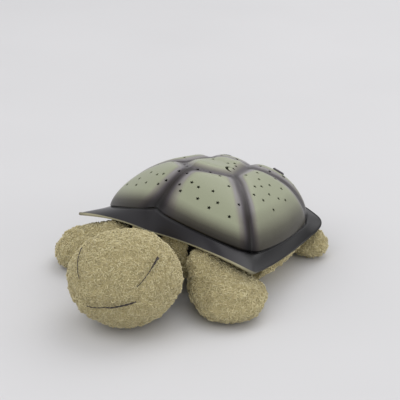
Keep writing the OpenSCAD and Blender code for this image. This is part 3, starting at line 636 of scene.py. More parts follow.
def turned_outward(mesh):
    form = bmesh.new()
    form.from_mesh(mesh)
    bmesh.ops.recalc_face_normals(form, faces=form.faces)
    form.to_mesh(mesh)
    form.free()


def gathered(solids):
    """Several (vertices, faces) as one."""
    vertices, faces, start = [], [], 0
    for v, f in solids:
        vertices.append(v)
        faces += [tuple(start + k for k in face) for face in f]
        start += len(v)
    return np.concatenate(vertices), faces


def shell_posts(form, sizes):
    """Six bosses for the tray's screws and the posts that carry the switch boards."""
    posts = []
    for i in range(CORNERS):
        p, n, _ = form.frame_at(i, np.array(0.0), np.array(BOSS_SHARE))
        fall = BOSS_R * math.hypot(n[0], n[1]) / n[2]
        top = p[2] - sizes.wall / 2 - fall - BOSS_BOTTOM
        profile = [(0, BOSS_DEPTH), (PILOT_R, BOSS_DEPTH), (PILOT_R, 0), (BOSS_R, 0), (BOSS_R, top), (0, top)]
        posts.append(lathe(profile, np.array([p[0], p[1], BOSS_BOTTOM]), [0, 0, 1]))
    p, n, _ = form.frame_at(2, np.array(BUTTON[1]), np.array(BUTTON[0]))
    flat = np.array([n[0], n[1], 0]) / np.hypot(n[0], n[1])
    side = np.cross([0, 0, 1], flat)
    for sign in (1, -1):
        flip = np.array([sign, 1, 1])
        for way in (1, -1):
            base = (p + side * way * SWITCH_POST_X) * flip
            low, high = SWITCH_BOARD_Z, -sizes.wall / 2
            profile = [(0, low), (SWITCH_POST_R, low), (SWITCH_POST_R, high), (0, high)]
            posts.append(lathe(profile, base, n * flip, 12))
    return gathered(posts)


class TURTLE_OT_shell(bpy.types.Operator):
    """Make the pierced, airbrushed shell with its flared brim and rolled lip."""

    bl_idname = "turtle.shell"
    bl_label = "Shell"

    def execute(self, context):
        sizes = context.scene.turtle_shell
        form = ShellForm(sizes)
        rows = shell_rows(form, PANEL_N, DOME_N)
        paint = paint_rows(form, rows, PANEL_N, DOME_N)
        shift = np.array([0, sizes.middle, 0])
        top = form.dome(0, np.array(0.0), np.array(0.0))
        across = np.roll(rows, -1, 1) - np.roll(rows, 1, 1)
        down = np.empty_like(rows)
        down[1:-1] = rows[2:] - rows[:-2]
        down[0] = rows[1] - top
        down[-1] = rows[-1] - rows[-2]
        n = np.cross(down, across)
        n /= np.linalg.norm(n, axis=-1, keepdims=True)
        inner = rows - n * sizes.wall
        inner[:2] = rows[:2] - np.array([0, 0, sizes.wall])
        outer = rows - n * (sizes.seam_gap * paint["line"])[..., None]
        out = rows[-1] - rows[-2]
        out /= np.linalg.norm(out, axis=-1, keepdims=True)
        bead = [
            rows[-1] - n[-1] * sizes.wall / 2 + sizes.lip_r * (out * math.cos(a) + n[-1] * math.sin(a))
            for a in np.radians(np.linspace(75, -75, 9))
        ]
        skin = np.concatenate([outer, bead, inner[::-1]])[::-1]
        vertices, faces = closed_skin(top - [0, 0, sizes.wall], skin, top)
        shell = new_object("shell_skin", vertices + shift, faces)
        cut_v, cut_f = hole_cutters(form, sizes)
        cutter = new_object("shell_cutter", cut_v + shift, cut_f)
        turned_outward(shell.data)
        turned_outward(cutter.data)
        cut = shell.modifiers.new("Holes", "BOOLEAN")
        cut.operation = "DIFFERENCE"
        cut.solver = "MANIFOLD"
        cut.object = cutter
        bake(shell)
        bpy.data.objects.remove(cutter)
        self.lay_paint(shell.data, rows + shift, n, out, paint)
        self.add_posts(shell, form, sizes, shift)
        smooth_by_angle(shell.data, math.radians(33))
        shell.data.materials.clear()
        shell.data.materials.append(shell_paint())
        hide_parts("shell")
        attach(shell, "base")
        return {"FINISHED"}

    def add_posts(self, shell, form, sizes, shift):
        vertices, faces = shell_posts(form, sizes)
        posts = new_object("shell_posts", vertices + shift, faces)
        turned_outward(posts.data)
        whole = bmesh.new()
        whole.from_mesh(shell.data)
        before = len(whole.verts)
        whole.from_mesh(posts.data)
        whole.to_mesh(shell.data)
        whole.free()
        bpy.data.objects.remove(posts)
        # The posts take the inside's near black, which is partly painted shade
        inside = shell.data.attributes["inside"].data
        for index in range(before, len(shell.data.vertices)):
            inside[index].value = 1

    def lay_paint(self, mesh, rows, outward, out, paint):
        """Carries the shares of paint from the rows over to the skin's own points."""
        m, n = rows.shape[:2]
        surface = rows.reshape(-1, 3)
        outward = outward.reshape(-1, 3)
        quads = [
            (k * n + j, (k + 1) * n + j, (k + 1) * n + (j + 1) % n, k * n + (j + 1) % n)
            for k in range(m - 1)
            for j in range(n)
        ]
        tree = BVHTree.FromPolygons([tuple(v) for v in surface], quads)
        ribbon = np.concatenate([rows[-1], rows[-1] + [0, 0, 0.00005]])
        strip = [(j, (j + 1) % n, n + (j + 1) % n, n + j) for j in range(n)]
        rim = BVHTree.FromPolygons([tuple(v) for v in ribbon], strip)
        co = coords(mesh)
        values = {name: np.zeros(len(co)) for name in (*paint, "inside", "lip", "painted_side_shade")}
        flat = {name: share.ravel() for name, share in paint.items()}
        middle = bpy.context.scene.turtle_shell.middle
        for index, point in enumerate(co):
            place, _, face, _ = tree.find_nearest(Vector(point))
            corner = np.array(quads[face])
            near = 1 / (np.linalg.norm(surface[corner] - point, axis=1) + 1e-5) ** 2
            near /= near.sum()
            for name, share in flat.items():
                values[name][index] = near @ share[corner]
            depth = (np.array(place) - point) @ outward[corner[0]]
            edge, _, at, to_rim = rim.find_nearest(Vector(point))
            beyond = (point - np.array(edge)) @ out[at]
            values["inside"][index] = depth > INSIDE_DEPTH and to_rim > INSIDE_FROM_RIM
            turn = abs(math.degrees(math.atan2(point[0], middle - point[1])))
            # Painted shade on the brim's side band
            values["painted_side_shade"][index] = values["brim"][index] * np.interp(turn, *SIDE_SHADE_TURN)
            lip = np.interp(beyond, *LIP_START) * np.interp(turn, *LIP_TURN)
            values["lip"][index] = lip * (to_rim < LIP_REACH)
        for name, share in values.items():
            point_attribute(mesh, name, share)


# ---------------------------------------------------------------- plush


def fleece_material():
    p = bpy.context.scene.turtle_plush
    found = bpy.data.materials.get("curly fleece")
    if found:
        return found
    w = Wiring("curly fleece")
    tone = attribute_value(w, "tone")
    patch = w.grain(120, 3)
    mixed = w.calc("ADD", tone, w.calc("MULTIPLY", patch, 0.7))
    # The cloth below the curls takes tone 0, the ground colour, which is partly painted shade in the crevices
    w.colour(w.ramp(mixed, [
        (0.25, linear(p.dark)),
        (0.80, linear(p.mid)),
        (1.35 / 1.4, linear(p.light)),
    ]))
    w.bump(w.grain(1600, 2), 0.0002, 0.5)
    return w.finish(Roughness=0.92, Sheen_Weight=0.25, Sheen_Roughness=0.5, Specular_IOR_Level=0.15)


def curl_tree():
    """Geometry Nodes that sow small standing loops of yarn over a cloth."""
    found = bpy.data.node_groups.get("fleece curls")
    if found:
        return found
    tree = bpy.data.node_groups.new("fleece curls", "GeometryNodeTree")
    face = tree.interface
    face.new_socket("Cloth", in_out="INPUT", socket_type="NodeSocketGeometry")
    for name, value in (("Spacing", 0.0017), ("Curl radius", 0.0015), ("Yarn radius", 0.0005)):
        face.new_socket(name, in_out="INPUT", socket_type="NodeSocketFloat").default_value = value
    face.new_socket("Seed", in_out="INPUT", socket_type="NodeSocketInt").default_value = 7
    face.new_socket("Fleece", in_out="INPUT", socket_type="NodeSocketMaterial")
    face.new_socket("Plush", in_out="OUTPUT", socket_type="NodeSocketGeometry")

    def put(kind, inputs=None, **settings):
        return put_node(tree, kind, inputs, **settings)

    given = put("NodeGroupInput").outputs
    cover = put("GeometryNodeInputNamedAttribute", {"Name": "cover"}, data_type="FLOAT").outputs["Attribute"]
    sown = put("GeometryNodeDistributePointsOnFaces", {
        "Mesh": given["Cloth"], "Distance Min": given["Spacing"], "Density Max": 700000.0,
        "Density Factor": cover, "Seed": given["Seed"],
    }, distribute_method="POISSON")
    arc = put("GeometryNodeCurveArc", {
        "Resolution": 5, "Radius": given["Curl radius"],
        "Start Angle": math.radians(-10), "Sweep Angle": math.radians(200),
    }, mode="RADIUS")
    ring = put("GeometryNodeCurvePrimitiveCircle", {"Resolution": 3, "Radius": given["Yarn radius"]}, mode="RADIUS")
    loop = put("GeometryNodeCurveToMesh", {
        "Curve": arc.outputs["Curve"], "Profile Curve": ring.outputs["Curve"], "Fill Caps": False,
    })
    stood = put("GeometryNodeTransform", {
        "Geometry": loop.outputs["Mesh"], "Rotation": (math.radians(90), 0, 0), "Translation": (0, 0, 0.0001),
    })
    spin = put("FunctionNodeRandomValue", {
        0: (-0.9, -0.9, 0.0), 1: (0.9, 0.9, 6.283), "Seed": 3,
    }, data_type="FLOAT_VECTOR")
    turn = put("FunctionNodeEulerToRotation", {"Euler": spin.outputs["Value"]})
    facing = put("FunctionNodeRotateRotation", {
        "Rotation": sown.outputs["Rotation"], "Rotate By": turn.outputs["Rotation"],
    }, rotation_space="LOCAL")
    size = put("FunctionNodeRandomValue", {2: 0.65, 3: 1.2, "Seed": 5}, data_type="FLOAT")
    curls = put("GeometryNodeInstanceOnPoints", {
        "Points": sown.outputs["Points"], "Instance": stood.outputs["Geometry"],
        "Rotation": facing.outputs["Rotation"], "Scale": size.outputs[1],
    })
    shade = put("FunctionNodeRandomValue", {2: 0.25, 3: 0.8, "Seed": 11}, data_type="FLOAT")
    toned = put("GeometryNodeStoreNamedAttribute", {
        "Geometry": curls.outputs["Instances"], "Name": "tone", "Value": shade.outputs[1],
    }, data_type="FLOAT", domain="INSTANCE")
    real = put("GeometryNodeRealizeInstances", {"Geometry": toned.outputs["Geometry"]})
    joined = put("GeometryNodeJoinGeometry")
    tree.links.new(real.outputs["Geometry"], joined.inputs["Geometry"])
    tree.links.new(given["Cloth"], joined.inputs["Geometry"])
    soft = put("GeometryNodeSetShadeSmooth", {"Geometry": joined.outputs["Geometry"]})
    dressed = put("GeometryNodeSetMaterial", {"Geometry": soft.outputs["Geometry"], "Material": given["Fleece"]})
    put("NodeGroupOutput", {"Plush": dressed.outputs["Geometry"]})
    return tree


# Rounds of smoothing that calm a cloth's grid before it is stuffed
CALM_ROUNDS = 4
LUMP_SIZE = 0.030
FLEECE_LUMP = 0.0018
FLEECE_LUMP_SIZE = 0.0055
COVER_BY_SLOPE = ([-0.95, -0.75], [0.12, 1.0])
COVER_BY_REACH = ([0.86, 0.96], [0.06, 1.0])


def modifier_input(modifier, name, value):
    for item in modifier.node_group.interface.items_tree:
        if item.item_type == "SOCKET" and item.in_out == "INPUT" and item.name == name:
            modifier[item.identifier] = value
            return
    raise KeyError(name)


def stuff(obj, cap, pressure=4.0, frames=20):
    """Fills a closed cloth with pressure; no point moves further than the cap."""
    before = coords(obj.data)
    cloth = obj.modifiers.new("Stuffing", "CLOTH")
    s = cloth.settings
    s.quality = 5
    s.use_pressure = True
    s.uniform_pressure_force = pressure
    s.effector_weights.gravity = 0
    s.tension_stiffness = 12
    s.compression_stiffness = 12
    s.bending_stiffness = 0.4
    scene = bpy.context.scene
    for number in range(1, frames + 1):
        scene.frame_set(number)
    graph = bpy.context.evaluated_depsgraph_get()
    moved = coords(obj.evaluated_get(graph).to_mesh())
    obj.modifiers.clear()
    scene.frame_set(1)
    step = moved - before
    far = np.linalg.norm(step, axis=1, keepdims=True)
    set_coords(obj.data, before + step * np.minimum(1, cap / np.maximum(far, 1e-9)))


def gridded(node, voxel, relax):
    """A calm, evenly gridded copy of a soft CAD solid."""
    obj = copy_of_node(node, "plush_" + node)
    grid = obj.modifiers.new("Grid", "REMESH")
    grid.mode = "VOXEL"
    grid.voxel_size = voxel
    calm = obj.modifiers.new("Calm", "SMOOTH")
    calm.factor = 0.5
    calm.iterations = relax
    return bake(obj)


def cloth_from_node(node, slack, cap):
    """A soft, stuffed cloth in the place of a CAD solid: drawn in by the slack, then filled out again."""
    plush = bpy.context.scene.turtle_plush
    obj = gridded(node, plush.voxel, CALM_ROUNDS)
    co, no = coords(obj.data), normals(obj.data)
    set_coords(obj.data, co - no * slack)
    stuff(obj, cap)
    fine = obj.modifiers.new("Fine", "SUBSURF")
    fine.levels = fine.render_levels = 1
    return bake(obj)


def lumps(obj, amount, size, seed):
    """Soft unevenness of the stuffing."""
    co, no = coords(obj.data), normals(obj.data)
    off = Vector((seed, seed * 1.7, seed * 0.3))
    d = np.array([noise.fractal(Vector(p) / size + off, 0.7, 2.0, 3) for p in co])
    set_coords(obj.data, co + no * (d * amount)[:, None])


def below_shell(co):
    """Shares of the seam's radius at which points lie, seen from above."""
    form = ShellForm(bpy.context.scene.turtle_shell)
    t = np.linspace(0, 1, 12, endpoint=False)
    ring = np.concatenate([form.seam(i, t) for i in range(CORNERS)])
    turn = lambda p: np.arctan2(p[:, 0], -p[:, 1])
    order = np.argsort(turn(ring))
    place = co[:, :2] - [0, form.sizes.middle]
    reach = np.interp(turn(place), turn(ring)[order], np.hypot(ring[:, 0], ring[:, 1])[order], period=2 * math.pi)
    return np.hypot(place[:, 0], place[:, 1]) / reach


def sow_fleece(obj, keep_clear=None, floor=0.0004):
    """Covers a cloth with curls, sparsely where it lies on the floor or below the tray."""
    plush = bpy.context.scene.turtle_plush
    lumps(obj, FLEECE_LUMP, FLEECE_LUMP_SIZE, plush.seed)
    co = coords(obj.data)
    co[:, 2] = np.maximum(co[:, 2], floor)
    set_coords(obj.data, co)
    no = normals(obj.data)
    cover = np.interp(no[:, 2], *COVER_BY_SLOPE) * np.interp(below_shell(co), *COVER_BY_REACH)
    if keep_clear is not None:
        cover = cover * keep_clear(co)
    point_attribute(obj.data, "cover", cover)
    curls = obj.modifiers.new("Fleece", "NODES")
    curls.node_group = curl_tree()
    for name, value in (
        ("Spacing", plush.spacing),
        ("Curl radius", plush.curl_r),
        ("Yarn radius", plush.yarn_r),
        ("Seed", plush.seed),
        ("Fleece", fleece_material()),
    ):
        modifier_input(curls, name, value)
    bake(obj)
    co = coords(obj.data)
    co[:, 2] = np.maximum(co[:, 2], floor / 2)
    set_coords(obj.data, co)
    return obj


HEAD_SIZE = np.array([0.116, 0.116, 0.096])
HEAD_TURN = math.radians(21)
NECK_Y = -0.119
HEAD_REACH = 0.063


def head_frame(points):
    """From the head's own frame, nose towards -y, to the turtle's."""
    c, s = math.cos(HEAD_TURN), math.sin(HEAD_TURN)
    p = np.asarray(points, float) + [0, -HEAD_REACH, 0]
    middle = bpy.context.scene.turtle_shell.middle
    return np.stack([c * p[..., 0] - s * p[..., 1],
                     s * p[..., 0] + c * p[..., 1] + NECK_Y + middle,
                     p[..., 2] + HEAD_SIZE[2] / 2], -1)


def on_head(u, w, lift):
    """A point on the head by its place across and its height, both as shares of the half sizes."""
    v = -np.sqrt(1 - u * u - w * w)
    n = np.stack([u / HEAD_SIZE[0], v / HEAD_SIZE[1], w / HEAD_SIZE[2]], -1)
    n /= np.linalg.norm(n, axis=-1, keepdims=True)
    return head_frame(np.stack([u, v, w], -1) * HEAD_SIZE / 2 + lift * n)


def eye_path(side, lift, count=30):
    u = np.linspace(0, 1, count)
    return on_head(side * (0.52 + 0.165 * u + 0.03 * np.sin(np.pi * u)), 0.33 + 0.36 * u, lift)


def mouth_path(lift, count=40):
    u = np.linspace(-0.35, 0.52, count)
    return on_head(u, -0.115 + 0.25 * u + 0.1 * u * u, lift)


# How the stitches draw the head in, and how far the curls keep off them
STITCH_PULL = 0.0020
STITCH_PULL_W = 0.006
STITCH_CLEAR = 0.0008
STITCH_FADE = 0.0022
TENTH = 0.0001

# Along each stitch: how far it stands proud of the head, and how thick it is
LEFT_EYE = {
    "at": [0, 0.12, 0.34, 0.46, 0.58, 0.70, 0.84, 1],
    "lift": [-7, 0, 1, -8, 2, -6, 6, 10],
    "r": [4, 4, 5, 4, 5, 5, 10, 14],
}
RIGHT_EYE = {"at": [0, 0.3, 0.5, 0.7, 1], "lift": [-9, -8, -9, -6, -4], "r": [4, 4, 4, 4, 5]}
MOUTH = {"at": [0, 0.12, 0.30, 0.42, 0.55, 0.9, 1], "lift": [-7, -1, 0, -7, 7, 8, 5], "r": [4, 5, 5, 5, 8, 9, 7]}


def stitch(path, plan):
    """A stitch's points and radii by its plan, whose measures are tenths of a millimetre."""
    at = np.linspace(0, 1, len(path(0)))
    lift = np.interp(at, plan["at"], plan["lift"]) * TENTH
    points = np.array([path(q)[k] for k, q in enumerate(lift)])
    return points, np.interp(at, plan["at"], plan["r"]) * TENTH, lift


def face_stitches():
    return {
        "eye_left": stitch(lambda q: eye_path(1, q), LEFT_EYE),
        "eye_right": stitch(lambda q: eye_path(-1, q), RIGHT_EYE),
        "mouth": stitch(mouth_path, MOUTH),
    }


def thread_material():
    w = Wiring("embroidery thread")
    w.mottle(w.grain(1200, 2), (0.10, 0.07, 0.06), (0.20, 0.15, 0.12))
    w.bump(w.grain(2500, 1, (1, 1, 3)), 0.0002, 0.8)
    return w.finish(Roughness=0.6, Sheen_Weight=0.2)


# A strand's distance from the thread's middle and its radius, as shares of the thread's, and its twist
STRAND_OFF = 0.55
STRAND_R = 0.62
STRAND_TWIST = 0.9


def thread(name, path, radii, material):
    """A twisted double strand of embroidery thread along a path."""
    vertices, faces, sides = [], [], 6
    count = len(path)
    for strand in (0, math.pi):
        start = len(vertices)
        for k, p in enumerate(path):
            d = path[min(k + 1, count - 1)] - path[max(k - 1, 0)]
            d /= np.linalg.norm(d)
            a = np.cross(d, [0.0, 0.0, 1.0])
            a /= np.linalg.norm(a)
            b = np.cross(d, a)
            twist = strand + k * STRAND_TWIST
            centre = p + STRAND_OFF * radii[k] * (a * math.cos(twist) + b * math.sin(twist))
            for j in range(sides):
                q = 2 * math.pi * j / sides
                vertices.append(centre + STRAND_R * radii[k] * (a * math.cos(q) + b * math.sin(q)))
        for k in range(count - 1):
            for j in range(sides):
                m = start + k * sides
                faces.append((m + j, m + (j + 1) % sides, m + sides + (j + 1) % sides, m + sides + j))
        faces.append(tuple(start + j for j in reversed(range(sides))))
        faces.append(tuple(start + (count - 1) * sides + j for j in range(sides)))
    obj = new_object(name, vertices, faces, material)
    turned_outward(obj.data)
    smooth_by_angle(obj.data, math.radians(60))
    return obj


class TURTLE_OT_head(bpy.types.Operator):
    """Make the stuffed head, with its face drawn in by the stitches."""

    bl_idname = "turtle.head"
    bl_label = "Head"

    def execute(self, context):
        head = cloth_from_node("head", 0.0022, 0.0035)
        lumps(head, 0.0014, LUMP_SIZE, 3)
        stitches = face_stitches().values()
        points = np.concatenate([path for path, _, _ in stitches])
        shown = np.concatenate([lift > TENTH for _, _, lift in stitches])
        co, no = coords(head.data), normals(head.data)
        near = np.min(np.linalg.norm(co[:, None] - points[None], axis=-1), axis=1)
        set_coords(head.data, co - no * (STITCH_PULL * np.exp(-((near / STITCH_PULL_W) ** 2)))[:, None])
        bare = points[shown]
        sow_fleece(head, lambda p: np.clip(
            (np.min(np.linalg.norm(p[:, None] - bare[None], axis=-1), axis=1) - STITCH_CLEAR) / STITCH_FADE, 0.1, 1))
        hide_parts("head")
        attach(head, "head")
        return {"FINISHED"}


class TURTLE_OT_face(bpy.types.Operator):
    """Stitch the closed eyes and the smile."""

    bl_idname = "turtle.face"
    bl_label = "Face"

    def execute(self, context):
        material = thread_material()
        for node, (path, radii, _) in face_stitches().items():
            sewn = thread("stitched_" + node, path, radii, material)
            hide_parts(node)
            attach(sewn, "head")
        return {"FINISHED"}


# How far the cloth outside the shell is drawn out along a flipper, as a share
FLIPPER_STRETCH = 0.07
SEAM_PULL = 0.0022
SEAM_PULL_W = 0.0022
# The body's slack by height, and its cover by how far the cloth faces outwards
BODY_SLACK = ([0.020, 0.030], [0.0010, 0.0])
BODY_COVER = ([-0.1, 0.3], [0.04, 1.0])


class TURTLE_OT_flippers(bpy.types.Operator):
    """Make the four stuffed flippers, whose cloth is drawn out past where they join the body and drawn in along their
    edge seams.
    """

    bl_idname = "turtle.flippers"
    bl_label = "Flippers"

    def execute(self, context):
        middle = context.scene.turtle_shell.middle
        # Each left flipper's root, its angle from the front, where its bend starts and ends, its seam's height
        hinges = {
            "flipper_front_left": ((0.055, -0.068), 50, 0.010, 0.034, 0.0105),
            "flipper_rear_left": ((0.052, 0.058), 110, 0.006, 0.022, 0.0085),
        }
        for name, ((x, y), angle, near, far, seam_z) in hinges.items():
            for side in (1, -1):
                node = name if side > 0 else name.replace("left", "right")
                flipper = cloth_from_node(node, 0.0016, 0.004)
                lumps(flipper, 0.0022, LUMP_SIZE, 5 if side > 0 else 9)
                a = math.radians(angle - 90)
                way = Vector((side * math.cos(a), math.sin(a), 0))
                root = Vector((side * x, y + middle, 0.012))
                co = coords(flipper.data)
                past = np.maximum((co - np.array(root)) @ np.array(way) - far, 0)
                set_coords(flipper.data, co + FLIPPER_STRETCH * past[:, None] * np.array(way))
                self.sew_edge(flipper, seam_z)
                sow_fleece(flipper)
                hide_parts(node)
                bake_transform(flipper)
        return {"FINISHED"}

    def sew_edge(self, flipper, height):
        """Draws the cloth in along the seam that runs round a flipper's edge."""
        co, no = coords(flipper.data), normals(flipper.data)
        steep = np.clip(1 - no[:, 2] ** 2, 0, 1)
        pull = SEAM_PULL * np.exp(-(((co[:, 2] - height) / SEAM_PULL_W) ** 2)) * steep
        set_coords(flipper.data, co - no * pull[:, None])


class TURTLE_OT_body(bpy.types.Operator):
    """Make the stuffed body, neck and tail below the shell."""

    bl_idname = "turtle.body"
    bl_label = "Body"

    def execute(self, context):
        body = gridded("body", 0.0024, 3)
        co, no = coords(body.data), normals(body.data)
        set_coords(body.data, co - no * np.interp(co[:, 2], *BODY_SLACK)[:, None])
        lumps(body, 0.0007, LUMP_SIZE, 4)
        middle = context.scene.turtle_shell.middle
        away = coords(body.data) - [0, middle, 0]
        outward = np.sum(normals(body.data)[:, :2] * away[:, :2], axis=1) / np.hypot(away[:, 0], away[:, 1])
        sow_fleece(body, lambda p: np.interp(outward, *BODY_COVER))
        pieces = {"body": body}
        for node, slack, cap in (("neck", 0.0018, 0.002), ("tail", 0.0018, 0.003)):
            pieces[node] = cloth_from_node(node, slack, cap)
            sow_fleece(pieces[node])
        for node, piece in pieces.items():
            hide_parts(node)
            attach(piece, "base")
        return {"FINISHED"}


# ---------------------------------------------------------------- belly


def weave_material(name, dark, light, size):
    w = Wiring(name)
    place = w.put("ShaderNodeTexCoord").outputs["Object"]
    warp, weft = [
        w.put("ShaderNodeTexWave", {"Vector": place, "Scale": size, "Distortion": 0.4}, bands_direction=way)
        for way in "XY"
    ]
    both = w.calc("MULTIPLY", warp.outputs["Fac"], weft.outputs["Fac"])
    w.colour(w.ramp(both, [(0.1, linear(dark)), (0.8, linear(light))]))
    w.bump(both, 0.0002, 0.6)
    return w.finish(Roughness=0.9, Sheen_Weight=0.2, Specular_IOR_Level=0.2)


class TURTLE_OT_belly(bpy.types.Operator):
    """Make the flat cloth underside and the tape that binds its opening."""

    bl_idname = "turtle.belly"
    bl_label = "Belly"

    def execute(self, context):
        cloth = weave_material("belly cloth", (0.50, 0.46, 0.33), (0.66, 0.62, 0.47), 160)
        tape = weave_material("binding tape", (0.36, 0.33, 0.23), (0.50, 0.46, 0.33), 260)
        cloths = (("belly_panel", "belly_cloth", cloth), ("belly_binding", "binding_tape", tape))
        for node, slot, material in cloths:
            piece = copy_of_node(node, "sewn_" + node)
            edge = piece.modifiers.new("Edge", "BEVEL")
            edge.width = 0.0003
            edge.segments = 2
            bake(piece)
            smooth_by_angle(piece.data, math.radians(40))
            piece.data.materials.append(material)
            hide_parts(node)
            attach(piece, "base")
        return {"FINISHED"}


# ---------------------------------------------------------------- moulded and electric parts


def moulded(name, colour, roughness=0.45, grain=0.00003, scale=1500):
    w = Wiring(name)
    shade = [c * 0.94 for c in colour]
    w.mottle(w.grain(30, 3), shade, colour)
    w.bump(w.grain(scale, 2), grain, 0.8)
    return w.finish(Roughness=roughness)


def metal(name, colour, roughness=0.3):
    w = Wiring(name)
    shade = [c * 0.85 for c in colour]
    w.mottle(w.grain(500, 4, (1, 6, 1)), shade, colour)
    w.bump(w.grain(2200, 2, (1, 8, 1)), 0.00002, 0.5)
    return w.finish(Roughness=roughness, Metallic=1.0)


def lamp_epoxy(name, colour):
    w = Wiring(name)
    bright = [min(1, c * 1.1) for c in colour]
    w.mottle(w.grain(300, 2), colour, bright)
    w.bump(w.grain(400, 1), 0.00001, 0.3)
    return w.finish(Roughness=0.08, Transmission_Weight=0.7, IOR=1.5)


# How far behind the origin a cell's jacket changes colour
CELL_BAND_Y = 0.078


def cell_jacket():
    w = Wiring("cell jacket")
    place = w.put("ShaderNodeTexCoord").outputs["Object"]
    height = w.put("ShaderNodeSeparateXYZ", {"Vector": place}).outputs["Y"]
    band = w.calc("GREATER_THAN", height, CELL_BAND_Y)
    w.colour(w.ramp(band, [(0.4, linear((0.12, 0.12, 0.13))), (0.6, linear((0.80, 0.58, 0.22)))]))
    w.bump(w.grain(900, 1), 0.00001, 0.3)
    return w.finish(Roughness=0.25, Metallic=0.6)


class TURTLE_OT_workings(bpy.types.Operator):
    """Finish the tray, lamp, boards, battery bay, buttons, screws and wires."""

    bl_idname = "turtle.workings"
    bl_label = "Workings"

    def execute(self, context):
        solder_mask = moulded("solder mask", (0.10, 0.34, 0.18), 0.35)
        steel = metal("nickel steel", (0.80, 0.79, 0.76))
        bay = moulded("battery bay plastic", (0.90, 0.90, 0.87), 0.42)
        black = moulded("black moulding", (0.09, 0.09, 0.10), 0.4)
        jacket = cell_jacket()
        finishes = {
            # The tray is moulded near black; the dark also stands in for the shade seen through the star holes and
            # under the brim
            "base_tray": moulded("tray plastic", (0.07, 0.07, 0.07), 0.5, 0.00006),
            "lamp_post": moulded("lamp post plastic", (0.93, 0.93, 0.91), 0.5),
            "led_board": solder_mask,
            "main_board": solder_mask,
            "switch_boards": solder_mask,
            "led_blue": lamp_epoxy("blue lamp epoxy", (0.62, 0.76, 0.98)),
            "led_green": lamp_epoxy("green lamp epoxy", (0.66, 0.96, 0.68)),
            "led_amber": lamp_epoxy("amber lamp epoxy", (0.99, 0.76, 0.36)),
            "control_chip": black,
            "board_parts": moulded("board parts", (0.45, 0.30, 0.18), 0.4),
            "tact_switches": black,
            "power_button": moulded("button rubber", (0.27, 0.25, 0.28), 0.55, 0.00005),
            "colour_button": moulded("second button rubber", (0.27, 0.25, 0.28), 0.55, 0.00005),
            "battery_box": bay,
            "battery_door": moulded("door plastic", (0.90, 0.90, 0.87), 0.40),
            "cell_1": jacket,
            "cell_2": jacket,
            "cell_3": jacket,
            "contact_springs": steel,
            "contact_plates": steel,
            "door_screw": steel,
            "shell_screws": steel,
            "board_screws": steel,
            "lamp_wires": moulded("red wire", (0.62, 0.10, 0.09), 0.4),
            "battery_wires": moulded("black wire", (0.10, 0.10, 0.11), 0.4),
            "switch_wires": moulded("grey wire", (0.55, 0.55, 0.56), 0.4),
        }
        for node, material in finishes.items():
            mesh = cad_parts[node].data
            mesh.materials.clear()
            mesh.materials.append(material)
        return {"FINISHED"}


# ---------------------------------------------------------------- stage


# Square lamps as (name, place, side, watts)
LAMPS = [
    ("key", (-0.7, -1.3, 1.9), 1.8, 12),
    ("fill", (1.6, -0.9, 1.2), 1.8, 4.5),
    ("side", (1.6, 0.9, 0.6), 1.2, 4.5),
    ("top", (0.0, 1.6, 2.2), 2.4, 25),
]
LAMPS_AIM = Vector((0, 0.02, 0.04))
GLOW = 0.93
SENSOR_W = 36
FLOOR_HALF = 6


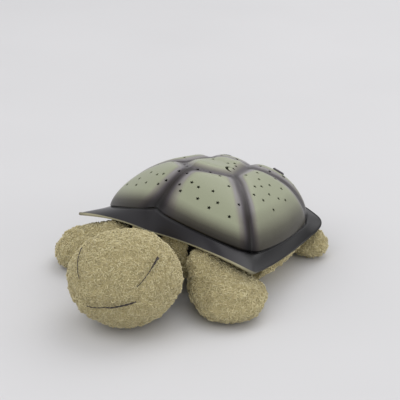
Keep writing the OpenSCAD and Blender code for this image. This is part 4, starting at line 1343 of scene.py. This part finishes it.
class TURTLE_OT_stage(bpy.types.Operator):
    """Lay the floor, hang the lamps and place the camera."""

    bl_idname = "turtle.stage"
    bl_label = "Stage"

    def execute(self, context):
        s = context.scene.turtle_stage
        scene = context.scene
        scene.view_settings.view_transform = "Standard"
        a, e = s.azimuth, s.elevation
        back = Vector((math.sin(a) * math.cos(e), -math.cos(a) * math.cos(e), math.sin(e)))
        data = bpy.data.cameras.new("camera")
        data.lens = s.lens
        data.sensor_width = SENSOR_W
        data.clip_end = 50
        camera = put_in_scene("camera", data)
        camera.location = Vector(s.target) + back * s.distance
        camera.rotation_euler = back.to_track_quat("Z", "Y").to_euler()
        scene.camera = camera

        w = Wiring("seamless paper")
        w.mottle(w.grain(3, 2), [c * 0.985 for c in s.floor], s.floor)
        paper = w.finish(Roughness=0.9, Specular_IOR_Level=0.1)
        h = FLOOR_HALF
        floor = new_object("floor", [(-h, -h, 0), (h, -h, 0), (h, h, 0), (-h, h, 0)], [(0, 1, 2, 3)], paper)

        world = bpy.data.worlds.new("studio")
        scene.world = world
        world.use_nodes = True
        tree = world.node_tree
        glow = tree.nodes["Background"]
        glow.inputs["Color"].default_value = linear(s.sky)
        glow.inputs["Strength"].default_value = GLOW
        seen = put_node(tree, "ShaderNodeBackground", {"Color": linear(s.sky), "Strength": 1.0})
        rays = put_node(tree, "ShaderNodeLightPath").outputs
        shown = rays["Is Camera Ray"]
        for kind in ("Is Glossy Ray", "Is Transmission Ray"):
            shown = put_node(tree, "ShaderNodeMath", {0: shown, 1: rays[kind]}, operation="MAXIMUM").outputs[0]
        mix = put_node(tree, "ShaderNodeMixShader", {"Fac": shown, 1: glow.outputs[0], 2: seen.outputs[0]})
        feed_node(tree, tree.nodes["World Output"], "Surface", mix.outputs[0])

        for name, place, size, power in LAMPS:
            lamp = bpy.data.lights.new(name, "AREA")
            lamp.size = size
            lamp.energy = power
            obj = put_in_scene(name, lamp)
            obj.location = place
            obj.rotation_euler = (Vector(place) - LAMPS_AIM).to_track_quat("Z", "Y").to_euler()
        return {"FINISHED"}


# ---------------------------------------------------------------- panel and start

OPERATORS = [
    TURTLE_OT_stage,
    TURTLE_OT_shell,
    TURTLE_OT_head,
    TURTLE_OT_face,
    TURTLE_OT_flippers,
    TURTLE_OT_body,
    TURTLE_OT_belly,
    TURTLE_OT_workings,
]
SETTINGS = {
    "turtle_shell": ShellSettings,
    "turtle_paint": PaintSettings,
    "turtle_plush": PlushSettings,
    "turtle_stage": StageSettings,
}


class TURTLE_PT_panel(bpy.types.Panel):
    """Lists the pieces of the night light and their settings."""

    bl_label = "Turtle Night Light"
    bl_idname = "TURTLE_PT_panel"
    bl_space_type = "VIEW_3D"
    bl_region_type = "UI"
    bl_category = "Turtle"

    def draw(self, context):
        layout = self.layout
        for operator in OPERATORS:
            layout.operator(operator.bl_idname, text=operator.bl_label)
        for name, group in SETTINGS.items():
            box = layout.box()
            box.label(text=group.__name__)
            for key in group.__annotations__:
                box.prop(getattr(context.scene, name), key)


def register():
    for cls in [*SETTINGS.values(), *OPERATORS, TURTLE_PT_panel]:
        bpy.utils.register_class(cls)
    for name, group in SETTINGS.items():
        setattr(bpy.types.Scene, name, bpy.props.PointerProperty(type=group))


def unregister():
    for name in SETTINGS:
        delattr(bpy.types.Scene, name)
    for cls in [TURTLE_PT_panel, *reversed(OPERATORS), *SETTINGS.values()]:
        bpy.utils.unregister_class(cls)


def main():
    register()
    for name in ("stage", "shell", "head", "face", "flippers", "body", "belly", "workings"):
        getattr(bpy.ops.turtle, name)()


if __name__ == "__main__":
    main()
